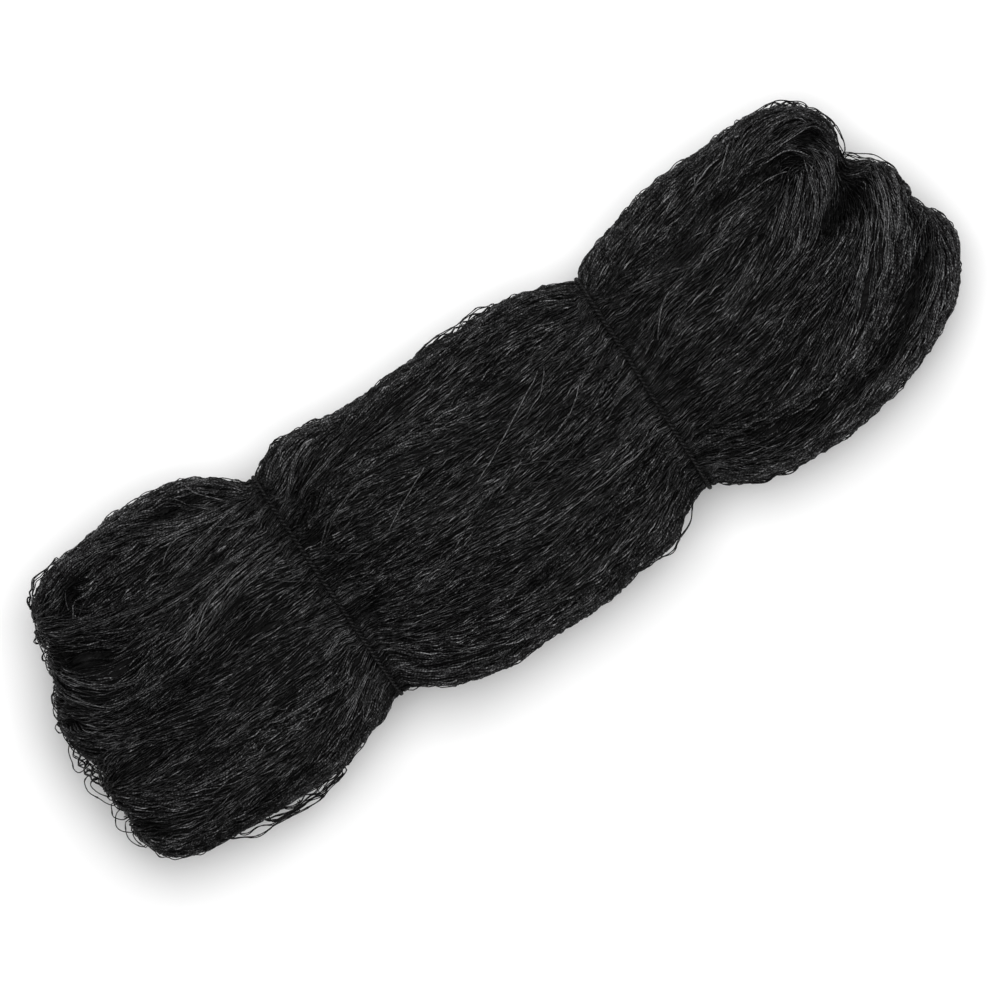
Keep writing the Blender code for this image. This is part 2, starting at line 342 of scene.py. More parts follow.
# The lie of the strands in plan, as lines that they follow, in millimetres from the
# layout point.  A line that turns back shows a pass that turns round.
FLOW_LINES: dict[str, tuple[Route, ...]] = {
    "left lobe": (
        ((-290, 138), (-242, 131), (-200, 125), (-160, 98)),
        ((-161, 90), (-185, 93), (-208, 99), (-232, 102), (-255, 106), (-281, 106), (-305, 105),
         (-328, 98), (-341, 108), (-324, 123), (-301, 130), (-277, 128), (-252, 121), (-231, 109),
         (-208, 102), (-185, 95), (-162, 90)),
        ((-364, 104), (-322, 92), (-276, 92), (-230, 96), (-184, 92), (-161, 89)),
        ((-364, 103), (-321, 88), (-276, 82), (-230, 84), (-185, 89), (-161, 88)),
        ((-365, 102), (-323, 84), (-276, 75), (-230, 69), (-185, 75), (-162, 82)),
        ((-368, 88), (-325, 69), (-278, 62), (-232, 57), (-184, 56), (-160, 55)),
        ((-373, 59), (-342, 27), (-297, 36), (-252, 46), (-207, 53), (-161, 52)),
        ((-383, 46), (-347, 15), (-300, 19), (-254, 33), (-208, 47), (-160, 49)),
        ((-384, 43), (-347, 13), (-301, 14), (-254, 21), (-209, 32), (-162, 27)),
        ((-384, 43), (-348, 13), (-302, 9), (-254, 10), (-208, 11), (-161, 7)),
        ((-385, 43), (-349, 12), (-301, 6), (-254, -1), (-207, -8), (-161, -19)),
        ((-385, 40), (-349, 10), (-305, -2), (-258, -13), (-212, -17), (-165, -20)),
        ((-388, 32), (-354, -1), (-310, -15), (-264, -26), (-218, -26), (-194, -24)),
        ((-389, -22), (-342, -18), (-296, -31), (-250, -33), (-202, -33), (-178, -32)),
        ((-387, -33), (-340, -36), (-290, -38), (-242, -38), (-194, -39), (-170, -41)),
        ((-389, -41), (-347, -58), (-300, -65), (-254, -68), (-206, -67), (-160, -61)),
        ((-391, -48), (-347, -71), (-300, -79), (-250, -80), (-202, -75), (-160, -57)),
        ((-387, -83), (-340, -91), (-292, -92), (-244, -92), (-197, -81), (-160, -59)),
        ((-367, -108), (-321, -110), (-276, -107), (-232, -100), (-189, -84), (-160, -57)),
        ((-268, -120), (-226, -107), (-186, -85), (-160, -57)),
        ((-357, 115), (-321, 112), (-276, 117), (-230, 104), (-185, 94), (-162, 90)),
        ((-370, 79), (-330, 53), (-282, 51), (-232, 53), (-184, 54), (-160, 53)),
        ((-231, -123), (-195, -101), (-161, -78)),
        ((-182, -106), (-171, -100), (-160, -91)),
    ),
    "middle lobe": (
        ((-160, 52), (-140, 62), (-118, 74), (-90, 82), (-52, 88), (0, 93), (40, 95), (90, 93),
         (112, 90), (132, 80)),
        ((-165, 60), (-150, 66), (-130, 67), (-104, 64), (-78, 63), (-52, 60), (-26, 56), (0, 52),
         (26, 50), (52, 49), (78, 51), (104, 52), (130, 54)),
        ((-160, 47), (-130, 48), (-104, 48), (-78, 45), (-52, 41), (-26, 37), (0, 34), (26, 32),
         (52, 33), (78, 36), (104, 37), (132, 40)),
        ((-160, 26), (-130, 31), (-78, 29), (0, 28), (52, 30), (78, 34), (132, 33)),
        ((-160, 22), (-130, 17), (-104, 14), (-52, 13), (0, 14), (52, 15), (104, 18), (132, 20)),
        ((-150, 8), (-104, 2), (-78, -2), (-52, -5), (0, -7), (52, -6), (78, -1), (104, 2), (132, 8)),
        ((-150, -12), (-104, -17), (-52, -19), (26, -21), (52, -23), (104, -19), (132, -14)),
        ((-150, -27), (-104, -32), (-52, -36), (0, -41), (26, -44), (78, -41), (132, -38)),
        ((-150, -38), (-104, -50), (-78, -53), (0, -57), (26, -57), (78, -49), (130, -36)),
        ((-155, -50), (-130, -60), (-78, -69), (0, -73), (52, -67), (104, -60), (130, -50)),
        ((-150, -62), (-104, -86), (-52, -99), (0, -103), (52, -96), (104, -85), (130, -74)),
        ((-20, 110), (0, 110), (22, 112)),
        ((-152, -53), (-107, -67), (-62, -77), (-16, -82), (32, -79), (79, -73), (124, -62)),
        ((-152, -79), (-110, -102), (-64, -116), (-16, -118), (34, -114), (80, -103), (123, -83)),
        ((-152, 102), (-133, 110), (-112, 115)),
        ((-152, 85), (-129, 98), (-103, 107), (-77, 109)),
        ((-151, 72), (-113, 94), (-72, 104), (-51, 108)),
        ((-151, -93), (-113, -115), (-71, -127), (-49, -128)),
        ((48, -123), (86, -110), (123, -91)),
        ((-152, 66), (-107, 78), (-61, 89), (-15, 96), (30, 101), (76, 103), (100, 102)),
    ),
    "right lobe": (
        ((137, 85), (180, 101), (224, 112), (270, 118)),
        ((137, 65), (179, 83), (223, 96), (267, 109), (289, 118)),
        ((137, 60), (185, 74), (233, 87), (279, 105), (299, 119)),
        ((137, 55), (184, 65), (229, 75), (274, 90), (313, 113), (337, 114)),
        ((137, 51), (160, 56), (182, 55), (206, 55), (229, 62), (250, 68), (274, 70), (298, 72),
         (319, 76), (337, 64), (329, 42), (314, 24), (297, 10), (275, 0), (252, -5), (230, -11),
         (207, -16), (183, -18), (161, -20), (137, -20)),
        ((136, 45), (183, 45), (229, 50), (276, 59), (323, 69), (314, 33), (276, 5), (230, -8),
         (184, -15), (137, -19)),
        ((137, 5), (158, 16), (178, 28), (201, 33), (225, 36), (250, 44), (274, 48), (296, 55),
         (318, 66), (328, 57), (317, 36), (301, 18), (280, 7), (257, 0), (232, -8), (208, -13),
         (185, -15), (161, -18), (137, -19)),
        ((137, 1), (182, 19), (227, 25), (272, 41), (315, 63), (300, 74), (252, 69), (206, 57),
         (160, 56), (137, 51)),
        ((136, -8), (159, 0), (185, 3), (209, 6), (232, 12), (254, 22), (276, 34), (296, 48), (315, 62),
         (330, 61), (318, 38), (303, 20), (282, 7), (258, 0), (235, -7), (211, -13), (187, -15),
         (162, -18), (138, -19)),
        ((137, -35), (184, -31), (233, -23), (280, -14), (325, 0), (354, 36), (351, 83), (304, 83),
         (257, 75), (208, 63), (161, 58), (137, 53)),
        ((136, -57), (171, -41), (219, -38), (265, -26), (312, -13), (348, 16), (360, 65), (325, 87),
         (279, 77), (231, 69), (184, 60), (137, 53)),
        ((138, -47), (185, -52), (231, -47), (277, -33), (300, -26), (321, -15), (340, 0), (351, 20),
         (358, 44), (360, 67)),
        ((137, -58), (184, -66), (233, -59), (279, -45), (319, -21), (350, 15), (360, 64), (327, 87),
         (280, 78), (233, 70), (184, 60), (136, 53)),
        ((137, -63), (183, -77), (229, -72), (274, -57), (313, -32), (346, 3), (359, 47), (345, 86),
         (297, 81), (252, 74), (205, 63), (160, 58), (136, 53)),
        ((137, -70), (183, -85), (231, -83), (276, -67), (315, -39), (345, -2), (359, 41), (350, 85),
         (302, 83), (255, 75), (209, 63), (161, 58), (137, 53)),
        ((137, -74), (183, -94), (230, -94), (278, -80), (318, -53), (350, -15), (364, 32), (362, 56)),
        ((136, -78), (178, -101), (224, -106), (271, -97), (318, -79), (360, -57), (392, -22)),
        ((137, -93), (181, -116), (228, -118), (277, -106), (323, -88), (363, -62), (394, -23)),
        ((238, -128), (285, -117), (331, -97), (368, -64), (394, -24)),
        ((136, -17), (184, -11), (231, -2), (275, 17), (311, 48), (329, 54), (300, 16), (256, -1),
         (209, -13), (161, -18), (137, -19)),
        ((137, 54), (184, 62), (231, 71), (280, 84), (324, 101), (348, 105)),
        ((136, -30), (179, -21), (228, -15), (275, -4), (318, 16), (350, 53), (328, 84), (280, 76),
         (233, 69), (184, 60), (137, 53)),
        ((137, -76), (179, -97), (226, -101), (273, -90), (313, -68), (353, -41), (380, -2), (387, 21)),
        ((354, -95), (373, -77), (388, -54), (397, -30)),
        ((380, 32), (371, -14), (338, -52), (298, -77), (252, -96), (204, -103), (160, -83),
         (137, -76)),
    ),
}

# Pale lone strands that lie on top of the others, in millimetres from the layout point.
LONE_LINES: tuple[Route, ...] = (
    ((-95, 10), (-74, 21), (-43, 36)),
    ((-17, 3), (16, 18), (70, 47)),
    ((29, -5), (70, 6), (92, 22)),
    ((45, 24), (62, 32), (76, 47)),
    ((-8, -56), (29, -54), (73, -51), (107, -48)),
    ((264, 88), (272, 94), (283, 102), (293, 110)),
    ((250, 97), (256, 104)),
    ((160, 15), (170, 27), (180, 36), (192, 42)),
    ((166, 92), (176, 100)),
    ((299, -9), (312, -4), (325, 1)),
    ((253, 70), (275, 69), (300, 69), (318, 66)),
    ((302, 79), (312, 81), (323, 80), (332, 74), (336, 66)),
    ((316, 86), (335, 86), (350, 84), (360, 76)),
    ((-332, 93), (-327, 99), (-318, 102), (-306, 103)),
    ((-331, 98), (-328, 106), (-324, 114)),
    ((-252, 88), (-244, 94), (-233, 98), (-220, 97)),
    ((-262, 27), (-250, 36), (-236, 44), (-218, 48), (-196, 51)),
    ((-206, 131), (-201, 120), (-194, 110), (-184, 101)),
    ((-255, -60), (-240, -62), (-215, -63)),
    ((-273, -96), (-266, -99), (-255, -98)),
    ((-232, -2), (-215, -3), (-200, -2)),
)

# Small gathers of lighter strands that lie together on top, in the same measure.
GATHER_LINES: tuple[Route, ...] = (
    ((-252, 79), (-236, 82), (-215, 88), (-190, 92), (-165, 92)),
    ((-255, 74), (-236, 76), (-214, 81), (-190, 84)),
    ((-305, 101), (-280, 102), (-255, 104), (-232, 103), (-205, 97), (-180, 92)),
    ((-250, 122), (-238, 114), (-222, 107), (-202, 100), (-180, 95)),
    ((-290, 136), (-268, 134), (-245, 130), (-230, 125)),
    ((-346, 124), (-330, 128), (-305, 129), (-280, 124), (-258, 119), (-243, 111)),
    ((-362, 92), (-340, 84), (-310, 76), (-285, 69), (-262, 66), (-235, 67)),
    ((-372, 72), (-358, 50), (-344, 36), (-325, 27), (-300, 24)),
    ((-378, 58), (-366, 38), (-350, 22), (-330, 16), (-300, 14)),
    ((-285, 30), (-262, 36), (-238, 45), (-205, 52), (-165, 56)),
    ((-300, 66), (-275, 60), (-245, 59), (-210, 61), (-175, 60)),
    ((-205, 88), (-190, 82), (-172, 78), (-160, 76)),
    ((-270, 22), (-250, 28), (-225, 38), (-195, 44), (-165, 48)),
    ((-225, 130), (-212, 122), (-204, 110), (-192, 100)),
    ((-240, -66), (-212, -64), (-185, -66), (-165, -60)),
    ((-200, -84), (-180, -76), (-163, -66)),
    ((-222, -98), (-195, -86), (-170, -70)),
    ((-190, -42), (-175, -36), (-160, -32)),
    ((-300, -50), (-285, -52), (-262, -50), (-240, -52)),
    ((-150, 25), (-126, 42), (-96, 52), (-60, 50)),
    ((-148, 72), (-126, 92), (-104, 104)),
    ((-152, 60), (-130, 74), (-108, 80), (-84, 86)),
    ((362, 84), (352, 86), (335, 88), (310, 86), (290, 88)),
    ((330, 70), (331, 60), (327, 48), (322, 36), (314, 26), (305, 16)),
    ((340, 72), (341, 58), (337, 44), (330, 32), (318, 20)),
    ((348, 76), (350, 62), (346, 48), (338, 36)),
    ((322, 62), (318, 52), (308, 42), (297, 34)),
    ((312, 58), (300, 46), (288, 36), (275, 28)),
    ((304, 30), (296, 20), (284, 12), (268, 6), (250, 1)),
    ((330, 38), (318, 24), (306, 14), (292, 6), (275, 0)),
    ((262, 28), (250, 22), (236, 16), (222, 10)),
    ((300, 5), (288, 3), (270, -3), (250, -6)),
    ((384, 24), (378, 6), (366, -12), (350, -30)),
    ((372, 30), (366, 8), (354, -12), (338, -30)),
    ((378, 14), (372, -6), (360, -24)),
    ((352, 20), (345, 0), (334, -18), (318, -34), (298, -48)),
    ((360, 0), (350, -20), (334, -38), (310, -54)),
    ((392, -30), (380, -52), (362, -70), (338, -86), (310, -98)),
    ((398, -38), (388, -60), (368, -80), (340, -96)),
    ((172, -48), (210, -44), (236, -38)),
)

# Where the close-lying strands end all round the hank, in millimetres from the layout
# point, clockwise.
OUTLINE: Route = (
    (-332, 135), (-318, 138), (-300, 138), (-280, 140), (-270, 143), (-260, 144), (-240, 141),
    (-220, 140), (-200, 134), (-180, 121), (-170, 110), (-160, 102), (-140, 114), (-130, 118),
    (-120, 118), (-96, 115), (-80, 111), (-60, 111), (-40, 110), (-20, 110.5), (0, 110.5), (18, 111),
    (26, 109.5), (38, 108.5), (55, 109.5), (70, 108.5), (90, 107), (120, 96), (130, 93), (140, 95),
    (150, 101), (160, 104), (180, 108), (210, 116), (230, 119), (250, 120), (280, 120), (305, 121),
    (318, 121), (330, 116), (343, 112), (350, 109), (355, 103), (357, 97), (362, 93), (366, 82),
    (366, 74), (363, 62), (362, 54), (369, 48), (379, 38), (386, 27), (388, 16), (388, 0), (389, -8),
    (393, -17), (400, -28), (402, -37), (400, -49), (392, -63), (384, -76), (374, -86), (360, -97),
    (330, -110), (310, -118), (285, -124), (260, -128), (240, -130), (210, -128), (190, -127),
    (180, -123), (170, -122), (160, -118), (150, -112), (140, -105), (133, -98), (124, -99),
    (112, -104), (100, -111), (88, -120), (70, -124), (50, -125), (20, -130), (-20, -130), (-30, -128),
    (-70, -130), (-90, -127), (-120, -118), (-140, -104), (-160, -96), (-170, -103), (-180, -108),
    (-190, -109), (-205, -115), (-222, -121), (-240, -121), (-262, -120), (-285, -119), (-305, -118),
    (-330, -116), (-347, -115), (-360, -112), (-372, -107), (-382, -99), (-387, -88), (-389, -72),
    (-390, -50), (-389, -36), (-387.5, -28), (-386.5, -18), (-387, -8), (-389, 1), (-392.5, 10),
    (-391, 24), (-389, 34), (-387, 43), (-380, 55), (-375, 60), (-372, 77), (-366, 94), (-360, 112),
    (-355, 120), (-348, 126), (-342, 131),
)


def smooth_line(points: np.ndarray, spacing: float) -> np.ndarray:
    """Points along a smooth curve through the points given.

    Args:
        points: the points, one to a row.
        spacing: the distance between the points made, about.

    Returns:
        The points of the curve, one to a row.
    """
    padded = np.vstack([2 * points[0] - points[1], points, 2 * points[-1] - points[-2]])
    made = []
    for p0, p1, p2, p3 in zip(padded, padded[1:], padded[2:], padded[3:]):
        steps = max(2, round(float(np.linalg.norm(p2 - p1)) / spacing))
        t = (np.arange(steps) / steps)[:, None]
        made.append(0.5 * (2 * p1 + (p2 - p0) * t + (2 * p0 - 5 * p1 + 4 * p2 - p3) * t**2
                           + (3 * p1 - p0 - 3 * p2 + p3) * t**3))
    made.append(points[-1:])
    return np.vstack(made)


def laid_out(points: Route) -> np.ndarray:
    """Plan points in metres in the frame, from millimetres off the layout point."""
    return (np.array(points, float) + np.array(LAYOUT_POINT)) * MM


def run_along(points: np.ndarray) -> np.ndarray:
    """The distance of each point along the line through them, with 0 for the first."""
    return np.concatenate([[0.0], np.cumsum(np.linalg.norm(np.diff(points, axis=0), axis=1))])


def read_at(at: np.ndarray, run: np.ndarray, rows: np.ndarray) -> np.ndarray:
    """Rows of numbers read in between.

    Args:
        at: the distances to read them at.
        run: the distance that each row stands at, rising.
        rows: the rows.

    Returns:
        One row for each distance.
    """
    return np.stack([np.interp(at, run, column) for column in rows.T], axis=1)


def unit(rows: np.ndarray) -> np.ndarray:
    """Directions made one unit long, one to a row."""
    return rows / np.maximum(np.linalg.norm(rows, axis=1, keepdims=True), 1e-9)


def evened(rows: np.ndarray, passes: int) -> np.ndarray:
    """Directions smoothed along a line, each made one unit long."""
    rows = rows.copy()
    for _ in range(passes):
        rows[1:-1] = (rows[:-2] + 2 * rows[1:-1] + rows[2:]) / 4
    return unit(rows)


def sideways(along: np.ndarray) -> np.ndarray:
    """The unit directions in plan to the left of the ones given, one to a row."""
    return unit(np.stack([-along[:, 1], along[:, 0]], axis=1))


def mesh_rows(mesh: bpy.types.Mesh, label: str) -> np.ndarray:
    """A vector of each vertex of a mesh, one to a row."""
    values = np.empty(len(mesh.vertices) * 3)
    mesh.vertices.foreach_get(label, values)
    return values.reshape(-1, 3)


def placed(name: str, data: bpy.types.ID) -> bpy.types.Object:
    """Make an object of a mesh, a light or a camera and put it in the scene."""
    made = bpy.data.objects.new(name, data)
    bpy.context.scene.collection.objects.link(made)
    return made


def twine_mesh(name: str, points: list, faces: list, flat: np.ndarray, tone: np.ndarray,
               run: np.ndarray) -> bpy.types.Mesh:
    """Make a mesh of strands that carries what the twine's material reads.

    Args:
        name: the mesh's name.
        points: arrays of its points, one to a row.
        faces: the corner numbers of its faces.
        flat: its bake map, in the order of the faces' corners.
        tone: how light each point is, 0 to 1, with any painted shading in it.
        run: how far along its strand each point lies, in millimetres.

    Returns:
        The mesh.
    """
    mesh = bpy.data.meshes.new(name)
    mesh.from_pydata(np.vstack(points).tolist(), [], faces)
    mesh.shade_smooth()
    mesh.uv_layers.new(name=BAKE_MAP).data.foreach_set("uv", flat)
    for label, values in (("tone", tone), ("run_mm", run)):
        mesh.attributes.new(label, "FLOAT", "POINT").data.foreach_set("value", values)
    return mesh


@dataclass(frozen=True)
class Fold:
    """A crease, hollow or lit ridge of the hank, along a route in plan.

    Depths and widths are in millimetres; the painted shading is added to the strands' tone: below zero it is
    painted shade in a crease, a hollow or a side turned from the light, above zero a painted highlight on a
    ridge or a sheen.
    """

    name: str
    depth: float
    half_width: float
    painted_shading: float
    route: Route


# Each fold's shade is painted light in the strands' colour: painted shade along creases, hollows, eyes and
# sides away from the light, and painted highlights and sheen along ridges and necks.
FOLDS = (
    Fold("right_first_groove", 12, 8, -0.36, ((366, 56), (358, 38), (345, 26), (328, 17), (308, 9))),
    Fold("right_first_groove_tail", 4, 6, -0.12, ((308, 9), (288, -3), (262, -8), (235, -8))),
    Fold("right_groove_foot", 5, 9, -0.26, ((354, 30), (349, 20), (345, 8))),
    Fold("right_groove_shelf", 4, 6, -0.22, ((340, 17), (326, 14), (312, 12))),
    Fold("right_small_eye", 6, 4, -0.45, ((334, 79), (345, 79), (354, 76), (357, 68))),
    Fold("right_eye", 9, 4.4, -0.36, ((301, 74), (313, 75), (323, 72), (328, 64))),
    Fold("right_eye_crease", 4, 5, -0.16, ((300, 78), (280, 77), (245, 76))),
    Fold("right_hollow", 4, 6, -0.18, ((203, 57), (226, 59))),
    Fold("right_second_groove", 8, 4.5, -0.26, ((398, -30), (380, -46), (360, -53), (347, -64), (334, -77),
                                             (314, -90), (295, -98), (262, -102), (236, -103))),
    Fold("right_second_groove_tail", 4, 6, -0.15, ((236, -103), (205, -96), (184, -88), (150, -76))),
    Fold("right_neck_dip", 3, 8, -0.10, ((147, 12), (150, -20), (150, -52))),
    Fold("left_hollow", 9, 6, -0.32, ((-367, 79), (-354, 66), (-338, 58), (-326, 54))),
    Fold("left_end_hole", 10, 5, -0.40, ((-387, 31), (-378, 23))),
    Fold("left_eye", 9, 6, -0.65, ((-327, 101), (-324, 109), (-316, 116))),
    Fold("left_rope_crease", 5, 5, -0.15, ((-321, 112), (-290, 117), (-258, 120), (-236, 123))),
    Fold("left_rope_hole", 13, 7, -0.6, ((-234, 123), (-218, 120), (-206, 115))),
    Fold("left_dent_upper", 4, 5, -0.16, ((-240, 68), (-208, 65))),
    Fold("left_dent_middle", 4, 5, -0.16, ((-228, 8), (-200, -1))),
    Fold("left_dent_low", 4, 5, -0.14, ((-379, -74), (-360, -86))),
    Fold("left_long_crease", 3, 7, -0.08, ((-350, -50), (-310, -58), (-260, -54), (-200, -46))),
    Fold("middle_neck_dip", 4, 8, -0.14, ((-143, 72), (-126, 58))),
    Fold("middle_neck_dip_low", 2, 8, -0.03, ((-146, -15), (-138, -42))),
    Fold("middle_dent_right", 4, 6, -0.14, ((50, 15), (72, 13))),
    Fold("middle_dent_centre", 3, 6, -0.12, ((-34, -19), (-10, -22))),
    Fold("middle_dent_low", 3, 5, -0.14, ((22, -43), (44, -44))),
    Fold("middle_low_crease", 3, 6, -0.08, ((-90, -70), (-30, -84), (40, -82), (95, -66))),
    Fold("left_low_side", 0, 34, -0.10, ((-352, 38), (-330, 15), (-300, 0))),
    Fold("left_end_side", 0, 14, -0.10, ((-386, 10), (-386, -40), (-380, -90))),
    Fold("left_bottom_side", 0, 9, -0.12, ((-365, -105), (-330, -112), (-290, -114), (-240, -115))),
    Fold("left_neck_foot", 0, 8, -0.16, ((-148, -100), (-160, -94))),
    Fold("right_neck_foot", 0, 9, -0.16, ((92, -116), (120, -98))),
    Fold("right_inner_ridge", -2, 8, 0.14, ((330, 66), (333, 50), (322, 34), (300, 20), (272, 9))),
    Fold("right_fan_ridge", -2, 13, 0.12, ((372, 32), (368, 10), (352, -10), (330, -32), (290, -62),
                                           (240, -84))),
    Fold("right_edge_ridge", -1, 8, 0.08, ((394, -46), (372, -74), (340, -96), (290, -112), (220, -122))),
    Fold("left_shelf_ridge", -1, 8, 0.10, ((-330, 24), (-300, 24), (-270, 34), (-230, 44), (-190, 46))),
    Fold("left_top_ridge", -1, 6, 0.08, ((-250, 92), (-220, 84), (-190, 70), (-168, 58))),
    Fold("middle_left_ridge", -1, 9, 0.10, ((-155, 66), (-128, 90), (-104, 104))),
    Fold("middle_right_ridge", -1, 9, 0.08, ((60, -42), (90, -44), (124, -40))),
    Fold("middle_neck_sheen", 0, 15, 0.11, ((112, 70), (116, 20), (114, -50))),
    Fold("left_neck_sheen", 0, 13, 0.13, ((-180, 60), (-178, 0), (-180, -60))),
)


class PlanGrid:
    """Numbers on an even grid in plan, read in between."""

    def __init__(self, cell: float) -> None:
        """Lay out the grid.

        Args:
            cell: its spacing, in metres.
        """
        self.cell = cell
        self.low = np.array([-0.44, -0.18])
        self.counts = np.ceil(-2 * self.low / cell).astype(int) + 1
        gx, gy = np.meshgrid(np.arange(self.counts[0]), np.arange(self.counts[1]), indexing="ij")
        self.places = np.stack([gx, gy], axis=-1).reshape(-1, 2) * cell + self.low
        self.table = np.zeros((*self.counts, 2))

    def blend(self, places: np.ndarray, values: np.ndarray, softness: float) -> None:
        """Fill the grid from scattered values, the nearest counting most.

        Args:
            places: where the values are in plan, one to a row.
            values: the values, two to a row.
            softness: the distance within which neighbours blend.
        """
        block = 2000
        rows = []
        for start in range(0, len(self.places), block):
            gap = ((self.places[start:start + block, None, :] - places[None, :, :]) ** 2).sum(axis=2)
            weight = 1.0 / (gap + softness**2) ** 2
            rows.append(weight @ values / weight.sum(axis=1, keepdims=True))
        self.table = np.vstack(rows).reshape(*self.counts, 2)

    def at(self, points: np.ndarray) -> np.ndarray:
        """The numbers at places in plan.

        Args:
            points: the places, one to a row.

        Returns:
            Two numbers to a row.
        """
        place = np.clip((points[:, :2] - self.low) / self.cell, 0, self.counts - 1.001)
        low = place.astype(int)
        f, g = (place - low).T[:, :, None]
        i, j = low.T
        t = self.table
        return ((t[i, j] * (1 - f) + t[i + 1, j] * f) * (1 - g)
                + (t[i, j + 1] * (1 - f) + t[i + 1, j + 1] * f) * g)


class Relief(PlanGrid):
    """The folds of the hank in plan, as a depth and a painted shading (painted shade in hollows, painted
    highlight on ridges).
    """

    def __init__(self) -> None:
        """Add up the folds over a fine grid."""
        super().__init__(2 * MM)
        flat = self.table.reshape(-1, 2)
        for fold in FOLDS:
            line = smooth_line(laid_out(fold.route), 2.5 * MM)
            along = np.linspace(0, 1, len(line))
            strength = np.clip(np.minimum(along, 1 - along) * 6, 0.25, 1)
            reach = fold.half_width * MM
            near = ((self.places > line.min(axis=0) - 3 * reach)
                    & (self.places < line.max(axis=0) + 3 * reach)).all(axis=1)
            gap = ((self.places[near][:, None, :] - line[None, :, :]) ** 2).sum(axis=2)
            share = (np.exp(-gap / reach**2) * strength).max(axis=1)
            flat[near, 0] -= fold.depth * MM * share
            # the fold's painted shade and highlight go into the tone
            flat[near, 1] += fold.painted_shading * share


class Rim(PlanGrid):
    """How far the strands stand out past the solid's rim in plan, and how high it is widest."""

    reach = 40 * MM
    proud = 1.2 * MM
    most = 9 * MM

    def __init__(self, tree: BVHTree) -> None:
        """Compare the outline with the solid all the way round.

        Args:
            tree: the smooth outside of the hank.
        """
        super().__init__(4 * MM)
        closed = laid_out((*OUTLINE, OUTLINE[0]))
        run = run_along(closed)
        at = np.arange(0, run[-1] - 4 * MM, 5 * MM)
        self.line = read_at(at, run, closed)
        along = np.roll(self.line, -2, axis=0) - np.roll(self.line, 2, axis=0)
        self.away = sideways(along)
        found = np.array([self._widest(tree, place, way) for place, way in zip(self.line, self.away)])
        found[:, 0] = np.clip(-found[:, 0] - self.proud, -self.most, self.most)
        for _ in range(2):
            found = (np.roll(found, 1, axis=0) + 2 * found + np.roll(found, -1, axis=0)) / 4
        self.found = found
        self.blend(self.line, found, 5 * MM)

    def _widest(self, tree: BVHTree, place: np.ndarray, way: np.ndarray) -> tuple[float, float]:
        """How far the solid stands past a place of the outline, and at what height."""
        best = (0.0, 70 * MM)
        level = Vector((way[0], way[1], 0.0))
        for step in range(14, 116, 5):
            start = Vector((place[0], place[1], step * MM)) + level * self.reach
            hit = tree.ray_cast(start, -level, self.reach * 2)[0]
            if hit is not None:
                beyond = self.reach - (start - hit).length
                if best[0] == 0.0 or beyond > best[0]:
                    best = (beyond, hit.z)
        return best

    def nearest(self, point: np.ndarray) -> int:
        """Which place of the outline is nearest to a place in plan."""
        return int(np.argmin(((self.line - point[:2]) ** 2).sum(axis=1)))


class TieRing:
    """The taut ring that a tie makes round a neck, read from its solid."""

    readings = 180
    bed_end = 36 * MM
    bed_fade = 28 * MM
    most_rise = 3 * MM

    def __init__(self, node: str) -> None:
        """Find the ring's middle line.

        Args:
            node: the frame's name for the tie.
        """
        self.node = node
        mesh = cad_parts[node].data
        points = mesh_rows(mesh, "co")
        slope, start = np.polyfit(points[:, 1], points[:, 0], 1)
        self.centre = (points.min(axis=0) + points.max(axis=0)) / 2
        self.centre[0] = start + slope * self.centre[1]
        self.across = np.array([slope, 1.0, 0.0]) / math.hypot(slope, 1.0)
        self.ahead = np.array([1.0, -slope, 0.0]) / math.hypot(slope, 1.0)
        tree = BVHTree.FromPolygons([tuple(p) for p in points], [tuple(f.vertices) for f in mesh.polygons])
        self.angles = 2 * np.pi * np.arange(self.readings) / self.readings
        inner, outer = [], []
        centre = Vector(self.centre)
        for angle in self.angles:
            way = Vector(self.across) * math.cos(angle) + Vector((0, 0, math.sin(angle)))
            inner.append((tree.ray_cast(centre, way)[0] - centre).length)
            outer.append((tree.ray_cast(centre + way * 0.3, -way)[0] - centre).length)
        self.radius = float(np.min(np.array(outer) - np.array(inner))) / 2
        self.reach = (np.array(inner) + np.array(outer)) / 2

    def line(self, spacing: float) -> np.ndarray:
        """The ring's middle line.

        Args:
            spacing: the distance between its points, about.

        Returns:
            Its points in order, one to a row; the last is a step before the first.
        """
        upright = np.array([0.0, 0.0, 1.0])
        ring = self.centre + self.reach[:, None] * (np.cos(self.angles)[:, None] * self.across
                                                    + np.sin(self.angles)[:, None] * upright)
        closed = np.vstack([ring, ring[:1]])
        run = run_along(closed)
        at = np.linspace(0, run[-1], max(12, round(run[-1] / spacing)), endpoint=False)
        return read_at(at, run, closed)

    def offset(self, points: np.ndarray) -> np.ndarray:
        """How far points are in front of the ring's plane, in metres, below zero behind it."""
        return (points - self.centre) @ self.ahead

    def bed(self, points: np.ndarray, lift: np.ndarray, clear: float) -> np.ndarray:
        """Bring points near the ring to its height, and under it where they pass it.

        Args:
            points: points laid on the hank, one to a row.
            lift: how far each lies over the hank, in metres, below zero for inside it.
            clear: how far they keep off the cord.

        Returns:
            The points, moved in or out from the ring's centre.
        """
        ahead = self.offset(points)
        inside = points - self.centre - ahead[:, None] * self.ahead
        radius = np.maximum(np.linalg.norm(inside, axis=1), 1e-6)
        angle = np.arctan2(inside[:, 2], inside @ self.across) % (2 * np.pi)
        cord = np.interp(angle, self.angles, self.reach, period=2 * np.pi)
        gap = np.abs(ahead)
        room = self.radius + clear
        under = cord - np.sqrt(np.maximum(room**2 - gap**2, 0))
        highest = np.where(gap < room, under, cord + 0.2 * MM + 1.6 * (gap - room))
        fade = np.clip((self.bed_end - gap) / self.bed_fade, 0, 1)
        fade = fade * fade * (3 - 2 * fade)
        rise = np.clip(cord + 0.4 * MM + lift - radius, 0, self.most_rise) * fade
        wanted = np.minimum(radius + rise, highest)
        return points + inside * (wanted / radius - 1)[:, None]


